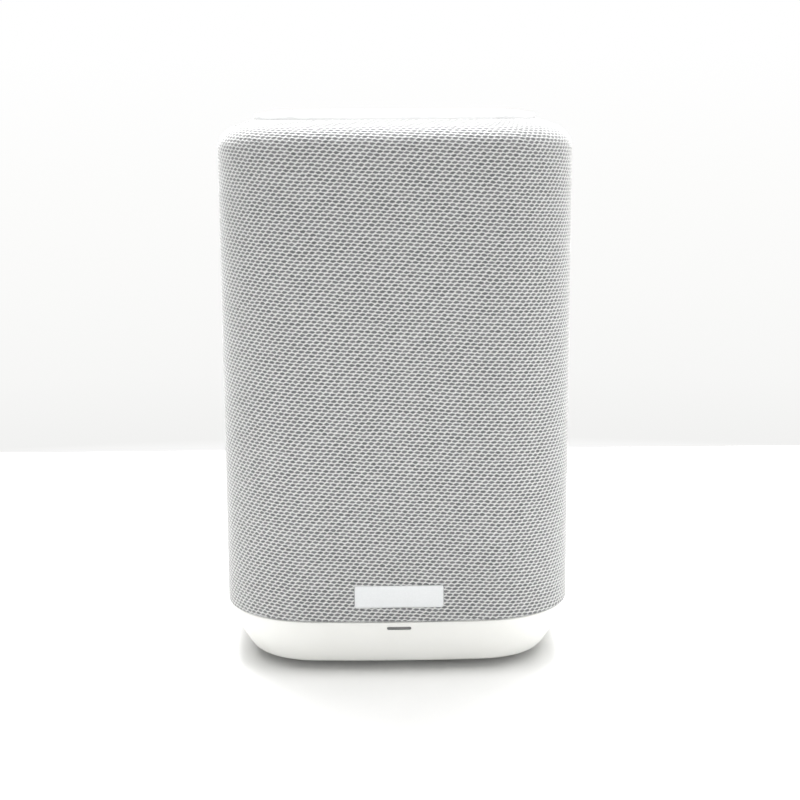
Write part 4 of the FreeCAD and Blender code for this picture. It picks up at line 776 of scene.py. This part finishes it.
SHORT_RISE = 0.1 * MM
flare = (bowl_inset(EDGE) - bowl_inset(EDGE + SHORT_RISE)) / SHORT_RISE
turn_at = (bowl_inset(EDGE) + flare * (EDGE - FOOT), FOOT)
flat_from = (turn_at[0] + TURN_UNDER, FOOT)
underside = []
for step in range(9):
    t = step / 8
    ends = zip(flat_from, turn_at, (bowl_inset(EDGE), EDGE))
    underside.append(tuple((1 - t) ** 2 * a + 2 * t * (1 - t) * b + t * t * c for a, b, c in ends))
side_heights = [EDGE + (RIM - RIM_EASE - EDGE) * step / 18 for step in range(1, 19)]
bowl_side = [(bowl_inset(height), height) for height in side_heights]
rim_centre = (bowl_side[-1][0] + RIM_EASE, bowl_side[-1][1])
LIP_INSET = 2.95 * MM
LIP_WALL = 2 * MM
FLAT_RING = 8 * MM
INSIDE_CORNER = 4 * MM
INSIDE_SLANT = 3 * MM
lip_foot = RIM - INSIDE_CORNER
bowl_profile = [(flat_from[0] + FLAT_RING, FOOT)] + underside + bowl_side[:-1]
bowl_profile += arc(rim_centre, RIM_EASE, 0, 90, 5)
bowl_profile += [(LIP_INSET, RIM), (LIP_INSET, base_high.z), (LIP_INSET + LIP_WALL, base_high.z)]
bowl_profile += [(LIP_INSET + LIP_WALL, lip_foot), (bowl_inset(lip_foot) + WALL, lip_foot)]
bowl_profile.append((bowl_inset(FOOT + INSIDE_CORNER) + WALL + INSIDE_SLANT, FOOT + WALL))
bowl = ringed_shell("base_bowl", bowl_profile)

light_centre = (0, middle_of(lens_low.z, lens_high.z))
LIGHT_CLEARANCE = 0.05 * MM
LIGHT_HALF_WIDTH = 4.1 * MM
LIGHT_HALF_HEIGHT = 0.6 * MM
light_hole = (LIGHT_HALF_WIDTH, LIGHT_HALF_HEIGHT, LIGHT_HALF_HEIGHT)
slot_cut = [(0, base_low.y - CUT_SPARE), (0, lens_high.y)]
cut(bowl, upright_plate("light_slot", light_centre, *light_hole, slot_cut))
screw_low, screw_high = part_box("base_screws")
SCREW_INSET = 2.7 * MM
SHAFT, HEAD = 1.6 * MM, 2.8 * MM
head_top = FOOT + 1.9 * MM
BORE_FOOT, BORE_HEAD = -1 * MM, 30 * MM
bore = [(HEAD, BORE_FOOT), (HEAD, head_top), (SHAFT, head_top), (SHAFT, BORE_HEAD)]
for x in (screw_low.x + SCREW_INSET, screw_high.x - SCREW_INSET):
    for y in (screw_low.y + SCREW_INSET, screw_high.y - SCREW_INSET):
        cut(bowl, turned_part("bore", (x, y, 0), bore, axis="Z"))
smooth(bowl, 32)
dress(bowl, "base_shell")
print(f"bowl {len(bowl.data.polygons)} faces, turns under at {turn_at[0] / MM:.1f} mm in")

# %% [markdown]
# ## Status light, badge and panel
#
# The light bar ends in half circles and sits a little back in its slot. The badge is a plain thin plate that
# only a bright edge tells from paint, so the edge is a real chamfer. The touch panel is a lid with a skirt: a
# small round edge, and then a long shallow curve that runs into the flat top.

# %% Status light, badge and panel
BAR_CHAMFER = 0.12 * MM
bar_size = [length - LIGHT_CLEARANCE for length in light_hole]
bar_profile = [(BAR_CHAMFER, lens_low.y), (0, lens_low.y + BAR_CHAMFER), (0, lens_high.y)]
bar = upright_plate("light_bar", light_centre, *bar_size, bar_profile)
dress(smooth(bar, 50), "status_light_lens")

CHAMFER = 0.22 * MM
badge_size = (badge_half_x, badge_half_z, BADGE_CORNER)
badge_profile = [(CHAMFER, badge_low.y), (0.4 * CHAMFER, badge_low.y + 0.3 * CHAMFER)]
badge_profile += [(0, badge_low.y + CHAMFER), (0, badge_high.y)]
badge = upright_plate("badge_plate_blank", badge_centre, *badge_size, badge_profile)
dress(smooth(badge, 50), "badge_plate")

PANEL_EDGE = 0.8 * MM
PANEL_PLATE = 2.4 * MM
PANEL_CROWN = 1.5 * MM
PANEL_SLOPE = 11.5 * MM
skirt = HALF - panel_high.x
panel_profile = [(skirt + WALL, panel_high.z - PANEL_PLATE), (skirt + WALL, panel_low.z)]
panel_profile.append((skirt, panel_low.z))
brow = panel_high.z - PANEL_CROWN
brow_slope = math.atan(2 * PANEL_CROWN / PANEL_SLOPE)
edge_run = PANEL_EDGE * math.tan((math.pi / 2 - brow_slope) / 2)
edge_centre = (skirt + PANEL_EDGE, brow - edge_run)
panel_profile += arc(edge_centre, PANEL_EDGE, 0, 90 - math.degrees(brow_slope), 10)
for step in range(2, 21):
    t = step / 20
    panel_profile.append((skirt + PANEL_SLOPE * t, panel_high.z - PANEL_CROWN * (1 - t) ** 2))
panel = smooth(ringed_shell("touch_panel_gloss", panel_profile), 40)
dress(panel, "touch_panel")
print(f"badge {2 * badge_half_x / MM:.1f} mm wide, panel {2 * panel_high.x / MM:.1f} mm wide")

# %% [markdown]
# ## Softened mouldings
#
# Sockets, rear tray and seals have the right shape in the frame, but perfectly sharp corners, which no mould
# makes. A copy is welded, its flat faces are joined up, and each corner gets a narrow round.

# %% Soften the corners of a copy


def softened(node_name, name, width, steps=2, corner=35):
    """A copy of a frame node whose sharp corners are rounded by width."""
    mesh = bmesh.new()
    mesh.from_mesh(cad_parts[node_name].data)
    bmesh.ops.remove_doubles(mesh, verts=mesh.verts, dist=WELD)
    bmesh.ops.dissolve_limit(mesh, angle_limit=math.radians(1), verts=mesh.verts, edges=mesh.edges)
    sharp = [e for e in mesh.edges if e.is_manifold and e.calc_face_angle(0) > math.radians(corner)]
    round_off = dict(offset=width, offset_type="OFFSET", segments=steps, profile=0.5, affect="EDGES")
    bmesh.ops.bevel(mesh, geom=sharp, clamp_overlap=True, **round_off)
    return smooth(mesh_object(name, mesh), corner)


for node_name, name, width in (
    ("rear_panel", "rear_tray", 0.35),
    ("network_socket", "network_jack", 0.25),
    ("usb_socket", "usb_jack", 0.15),
    ("audio_socket", "audio_jack", 0.25),
    ("mains_inlet", "mains_jack", 0.3),
    ("cabinet_seal", "foam_seal", 0.3),
    ("woofer_gasket", "foam_gasket", 0.2),
):
    soft = dress(softened(node_name, name, width * MM), node_name)
    print(name, len(soft.data.polygons), "faces")

# %% [markdown]
# ## What the sockets hold
#
# Looked into, each socket shows metal. The network jack has eight sprung wires that run in under its roof
# and slope down. The USB socket has a tongue of black plastic with four flat contacts. The bracket thread
# has 20 turns to the inch: the radius of the brass bush's bore rises and falls as a screw line goes round.

# %% Contacts and the bracket thread


def tube_along(mesh, points, radius, sides=8):
    """A thin wire through points that lie in one plane of X."""
    rings = []
    for i, point in enumerate(points):
        run = (points[min(i + 1, len(points) - 1)] - points[max(i - 1, 0)]).normalized()
        lift = Vector((1, 0, 0)).cross(run)
        turns = [2 * math.pi * side / sides for side in range(sides)]
        ring = [point + radius * (math.cos(t) * Vector((1, 0, 0)) + math.sin(t) * lift) for t in turns]
        rings.append([mesh.verts.new(spot) for spot in ring])
    join_rings(mesh, rings)


def contacts(name, places, back, level, bends, radius, sides=8):
    """Sprung wires of bare brass side by side, which stand for no node. Each bend is (distance in from the
    back, rise) in millimetres."""
    mesh = bmesh.new()
    for x in places:
        path = [Vector((x, back - inward * MM, level + rise * MM)) for inward, rise in bends]
        tube_along(mesh, path, radius, sides)
    piece = mesh_object(name, mesh)
    piece.data.materials.append(finishes["brass_insert"])
    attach(smooth(piece, 40), HOUSING)


network_low, network_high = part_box("network_socket")
network_middle = middle_of(network_low, network_high)
JACK_ROOF = 3.3 * MM
CONTACT_PITCH = 1.02 * MM
NETWORK_BENDS = ((2.0, 0.0), (2.6, -0.15), (4.0, -1.0), (7.0, -2.5), (10.0, -3.8), (11.6, -4.3))
wires = [network_middle.x + (i - 3.5) * CONTACT_PITCH for i in range(8)]
roof = network_middle.z + JACK_ROOF
contacts("network_contacts", wires, network_high.y, roof, NETWORK_BENDS, 0.2 * MM)

usb_low, usb_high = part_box("usb_socket")
usb_middle = middle_of(usb_low.x, usb_high.x)
USB_WALL = 0.8 * MM
TONGUE = 1.9 * MM
USB_BENDS = ((2.2, 0.0), (2.6, -0.12), (9.0, -0.12), (12.5, -0.05))
tongue_foot = usb_high.z - USB_WALL - 1.5 * TONGUE
strips = [usb_middle + offset * MM for offset in (-3.5, -1.0, 1.0, 3.5)]
contacts("usb_contacts", strips, usb_high.y, tongue_foot, USB_BENDS, 0.32 * MM, sides=4)

TONGUE_REACH = Vector((5.6 * MM, 1 * MM, 0.1 * MM))
usb = bpy.data.objects["usb_jack"]
usb.data.materials.append(finishes["socket_black"])
for face in usb.data.polygons:
    x, y, z = face.center
    between_sides = abs(x - usb_middle) < TONGUE_REACH.x and y < usb_high.y - TONGUE_REACH.y
    if between_sides and tongue_foot - TONGUE_REACH.z < z < usb_high.z - USB_WALL:
        face.material_index = 1

bush_low, bush_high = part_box("mounting_insert")
bush_centre = (middle_of(bush_low.x, bush_high.x), bush_high.y, middle_of(bush_low.z, bush_high.z))
BUSH_RADIUS = 5 * MM
BORE_RADIUS = 2.6 * MM
BUSH_CHAMFER = 0.4 * MM
THREAD_DEPTH = 0.55 * MM
THREAD_MOUTH = 0.2 * MM
THREAD_FIRST, THREAD_LAST = 0.5 * MM, 0.1 * MM
THREAD_STEPS = 90
THREAD_PITCH = 25.4 * MM / 20


def thread_at(along):
    """The bore's radius round the bush, at one distance along it."""

    def radius(angle):
        turn = (along / THREAD_PITCH + angle / (2 * math.pi)) % 1
        return BORE_RADIUS + THREAD_DEPTH * (1 - abs(2 * turn - 1))

    return radius


length = bush_high.y - bush_low.y
cut_length = length - THREAD_FIRST - THREAD_LAST
bush_profile = [(BUSH_RADIUS, -length), (BUSH_RADIUS, -BUSH_CHAMFER), (BUSH_RADIUS - BUSH_CHAMFER, 0.0)]
bush_profile.append((BORE_RADIUS + THREAD_DEPTH + THREAD_MOUTH, 0.0))
levels = [-THREAD_FIRST - cut_length * step / THREAD_STEPS for step in range(THREAD_STEPS + 1)]
bush_profile += [(thread_at(along), along) for along in levels]
bush_profile.append((BORE_RADIUS + THREAD_DEPTH, -length))
bush = turned_part("threaded_bush", bush_centre, bush_profile, steps=64, closed=True)
dress(smooth(bush, 25), "mounting_insert")
print(f"thread of {THREAD_PITCH / MM:.2f} mm pitch over {length / MM:.0f} mm")

# %% [markdown]
# ## Soft pieces inside and underneath
#
# The wadding that damps the cabinet is a block of polyester fibre. It is built as cloth filled with air: a
# block smaller than its space is remeshed and blown up by a light pressure, and no point may move further
# than the gap allows, so its faces crown and its edges round. The rubber foot is a moulded pad whose rim
# meets the table and whose middle stands clear of it.

# %% Wadding and foot
NO_MOVE = 1e-9


def blown_up(name, low, high, room, voxel, pressure, frames=20):
    """A padded block that swells by at most room from a block that much smaller than its space."""
    mesh = bmesh.new()
    bmesh.ops.create_cube(mesh, size=1)
    for vertex in mesh.verts:
        for axis in range(3):
            half = (high[axis] - low[axis]) / 2 - room
            vertex.co[axis] = middle_of(low[axis], high[axis]) + 2 * half * vertex.co[axis]
    block = mesh_object(name, mesh)
    remesh = block.modifiers.new("remesh", "REMESH")
    remesh.mode = "VOXEL"
    remesh.voxel_size = voxel
    apply_modifiers(block)
    rest = [vertex.co.copy() for vertex in block.data.vertices]
    cloth = block.modifiers.new("cloth", "CLOTH")
    cloth.settings.use_pressure = True
    cloth.settings.uniform_pressure_force = pressure
    cloth.settings.effector_weights.gravity = 0
    for frame_number in range(1, frames + 1):
        scene.frame_set(frame_number)
    apply_modifiers(block)
    for vertex, start in zip(block.data.vertices, rest):
        move = vertex.co - start
        vertex.co = start + move * min(1, room / max(move.length, NO_MOVE))
    block.modifiers.new("fine", "SUBSURF").levels = 1
    apply_modifiers(block)
    scene.frame_set(1)
    return smooth(block, 180)


wadding_low, wadding_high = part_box("wadding")
wadding = blown_up("wadding_block", wadding_low, wadding_high, 2 * MM, 3.5 * MM, 4)
dress(wadding, "wadding")

foot_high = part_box("foot_pad")[1]
foot_inset = HALF - foot_high.x
FOOT_EDGE = 0.6 * MM
FOOT_RIM, FOOT_MIDDLE = 7 * MM, 9 * MM
FOOT_HOLLOW, HOLLOW_SLANT = 0.5 * MM, 0.3 * MM
foot_profile = [(foot_inset + FOOT_MIDDLE, foot_high.z), (foot_inset, foot_high.z)]
foot_profile += arc((foot_inset + FOOT_EDGE, FOOT_EDGE), FOOT_EDGE, 0, -90, 6)
foot_profile += [(foot_inset + FOOT_RIM, 0.0), (foot_inset + FOOT_RIM + HOLLOW_SLANT, FOOT_HOLLOW)]
foot_profile.append((foot_inset + FOOT_MIDDLE, FOOT_HOLLOW))
foot = smooth(ringed_shell("rubber_foot", foot_profile), 40)
dress(foot, "foot_pad")
print(f"wadding {len(wadding.data.polygons)} faces, foot {2 * foot_high.x / MM:.0f} mm across")

# %% [markdown]
# ## The drivers' moving rubber, cloth and silk
#
# The woofer's cone hangs between a half-roll of rubber at its edge and a corrugated cloth spider at its neck.
# Both stretch as the cone moves, because the frame holds them outside and the cone inside. Each is a ring cut
# into wedges, alike where they meet. The tweeter's dome is one cap of coated silk, whose line starts POLE of
# a step away from the axis.

# %% Surround, spider and dome
WEDGES = 16
basket_low, basket_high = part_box("woofer_basket")
woofer_at = Vector((0, basket_low.y, middle_of(basket_low.z, basket_high.z)))


def facing_front(profile):
    """A profile of (radius, height above the baffle) as (radius, distance along Y)."""
    return [(radius, -height) for radius, height in profile]


def bending_ring(name, node_name, finish, profile):
    """A ring of wedges, each turned from the same profile round the woofer's axis."""
    solid = dict(profile=facing_front(profile), steps=6, closed=True)
    for i in range(WEDGES):
        turn = (360 * (i - 0.5) / WEDGES, 360 * (i + 0.5) / WEDGES)
        wedge = turned_part(f"{name}_{i + 1:02d}", woofer_at, turn=turn, **solid)
        smooth(wedge, 50)
        wedge.data.materials.append(finish)
        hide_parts(node_name)
        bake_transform(wedge)


CONE_RADIUS = 30 * MM
ROLL_WIDTH = 6.9 * MM
SURROUND_LIP = 1.6 * MM
RUBBER = 0.6 * MM
roll = ROLL_WIDTH / 2 - RUBBER / 2
lift = math.asin(RUBBER / 2 / roll)
crest = CONE_RADIUS + ROLL_WIDTH / 2
surround_line = [(CONE_RADIUS - SURROUND_LIP, RUBBER / 2)]
for step in range(15):
    angle = math.pi - lift - (math.pi - 2 * lift) * step / 14
    surround_line.append((crest + roll * math.cos(angle), roll * math.sin(angle)))
surround_line.append((CONE_RADIUS + ROLL_WIDTH + SURROUND_LIP, RUBBER / 2))
surround_rubber = soft_rubber("moulded_black_rubber", "#2A2B2C", "#343536", 0.6)
roll_profile = thickened(surround_line, RUBBER, 4)
bending_ring("rubber_surround", "woofer_surround", surround_rubber, roll_profile)

SPIDER_WALL = 0.4 * MM
SPIDER_LEVEL = -15 * MM + SPIDER_WALL / 2
RIPPLES, RIPPLE_HEIGHT = 4, 0.28 * MM
spider_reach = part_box("woofer_spider")[1].x
SPIDER_HOLE, SPIDER_START, SPIDER_END = 13.4 * MM, 14.2 * MM, 26.2 * MM
spider_line = [(SPIDER_HOLE, SPIDER_LEVEL)]
for step in range(49):
    share = step / 48
    ripple = RIPPLE_HEIGHT * math.sin(RIPPLES * math.tau * share)
    spider_line.append((SPIDER_START + (SPIDER_END - SPIDER_START) * share, SPIDER_LEVEL + ripple))
spider_line.append((spider_reach, SPIDER_LEVEL))
spider_profile = thickened(spider_line, SPIDER_WALL, 4)
spider_finish = finishes["spider_cloth"]
bending_ring("cloth_spider", "woofer_spider", spider_finish, spider_profile)

dome_low, dome_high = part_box("tweeter_dome")
dome_at = (0, basket_low.y, middle_of(dome_low.z, dome_high.z))
SILK = 0.3 * MM
POLE = 0.05
DOME_RADIUS, DOME_CURVE, DOME_ROLL = 12 * MM, 17 * MM, 1.3 * MM
dome_crown = basket_low.y - dome_low.y
dome_base = dome_crown - DOME_CURVE + math.sqrt(DOME_CURVE**2 - DOME_RADIUS**2)
dome_line = []
dome_middle = (0, dome_crown - DOME_CURVE, DOME_CURVE - SILK / 2)
roll_middle = (DOME_RADIUS + DOME_ROLL, dome_base, DOME_ROLL - SILK / 2)
dome_angles = [math.asin(DOME_RADIUS / DOME_CURVE) * max(step, POLE) / 24 for step in range(25)]
bends = [(dome_middle, math.pi / 2 - angle) for angle in dome_angles]
bends += [(roll_middle, math.pi * (1 - step / 12)) for step in range(1, 12)]
for (x, y, radius), angle in bends:
    dome_line.append((x + radius * math.cos(angle), y + radius * math.sin(angle)))
dome_line += [(DOME_RADIUS + 2 * DOME_ROLL, dome_base - SILK / 2), (dome_high.x, dome_base - SILK / 2)]
dome_profile = thickened(dome_line, SILK, 4)[:-3]
dome = turned_part("silk_dome", dome_at, facing_front(dome_profile), steps=96)
dress(smooth(dome, 50), "tweeter_dome", body="tweeter_dome_assembly")
print(f"{2 * WEDGES} wedges, dome {len(dome.data.polygons)} faces")

# %% [markdown]
# ## The floor and the light
#
# The floor is a plain white table, slightly glossy, that ends behind the speaker. Most light falls from a
# wide softbox overhead. A narrow strip behind it lights the shoulder, a wide low box in front lights the
# cloth, and two dim ones at the sides, the right one stronger, shape the round form. The tent itself is
# nearly dark: only the camera and mirror reflections see its bright wall.

# %% Floor and lights
FLOOR_BACK = 0.30
FLOOR_FRONT = -0.42
FLOOR_HALF = 0.6
mesh = bmesh.new()
corners = [(side * FLOOR_HALF, FLOOR_FRONT) for side in (-1, 1)]
corners += [(side * FLOOR_HALF, FLOOR_BACK) for side in (1, -1)]
mesh.faces.new([mesh.verts.new((x, y, 0)) for x, y in corners])
floor = mesh_object("floor", mesh)
table_tone = (30, 2.0, "#E9E9E8", "#EDEDEC")
floor.data.materials.append(grained("white_table_top", "#EBEBEA", 0.35, table_tone, Specular_IOR_Level=0.3))


def softbox(name, place, aim, width, height, power):
    """A large soft light that shines from place towards aim and isn't seen itself."""
    lamp = bpy.data.lights.new(name, "AREA")
    lamp.shape = "RECTANGLE"
    lamp.size, lamp.size_y = width, height
    lamp.energy = power
    light = link(bpy.data.objects.new(name, lamp))
    towards = (Vector(aim) - Vector(place)).to_track_quat("-Z", "Y")
    light.matrix_world = Matrix.Translation(place) @ towards.to_matrix().to_4x4()
    light.visible_camera = False


MIDDLE = (0, 0, 0.1)
TENT_LIGHT = 0.03
WALL_FOOT, WALL_HEAD = -0.213, 0.03
# Painted light and shade on the wall: darkest in a band just above the floor line, brighter towards the top.
WALL_COLOURS = {0.0: "#FEFEFE", 0.035: "#F2F2F1", 0.20: "#F7F7F6"}
WALL_COLOURS.update({0.43: "#FAFAF9", 0.66: "#FCFCFB", 1.0: "#FFFFFE"})
softbox("overhead_softbox", (0, 0.0, 1.1), MIDDLE, 1.4, 1.4, 19)
softbox("rear_strip_softbox", (0, 0.38, 1.05), MIDDLE, 0.7, 0.35, 25)
softbox("front_softbox", (0, -1.2, 0.55), MIDDLE, 1.6, 0.9, 7.2)
softbox("left_softbox", (-1.0, 0.1, 0.45), MIDDLE, 0.8, 1.0, 1.4)
softbox("right_softbox", (1.0, 0.1, 0.45), MIDDLE, 0.8, 1.0, 3.6)

world = bpy.data.worlds.new("light_tent")
scene.world = world
world.use_nodes = True
tent = world.node_tree
glow = tent.nodes["Background"]
glow.inputs["Color"].default_value = paint("#FCFCFA")
glow.inputs["Strength"].default_value = TENT_LIGHT
rise = add(tent, "SeparateXYZ", {0: add(tent, "TexCoord").outputs["Generated"]})
climb = add(tent, "MapRange", {0: rise.outputs["Z"], 1: WALL_FOOT, 2: WALL_HEAD})
wall = add(tent, "ValToRGB", {0: climb})
stops = wall.color_ramp.elements
for place, colour in WALL_COLOURS.items():
    stop = stops.new(place)
    stop.color = paint(colour)
stops.remove(stops[-1])
stops.remove(stops[0])
seen = add(tent, "Background", {"Color": wall, "Strength": 1.0})
ray = add(tent, "LightPath").outputs
shown = add(tent, "Math", {0: ray["Is Camera Ray"], 1: ray["Is Glossy Ray"]}, operation="MAXIMUM")
chosen = add(tent, "MixShader", {0: shown})
tent.links.new(glow.outputs[0], chosen.inputs[1])
tent.links.new(seen.outputs[0], chosen.inputs[2])
tent.links.new(chosen.outputs[0], tent.nodes["World Output"].inputs["Surface"])
scene.view_settings.view_transform = "Standard"
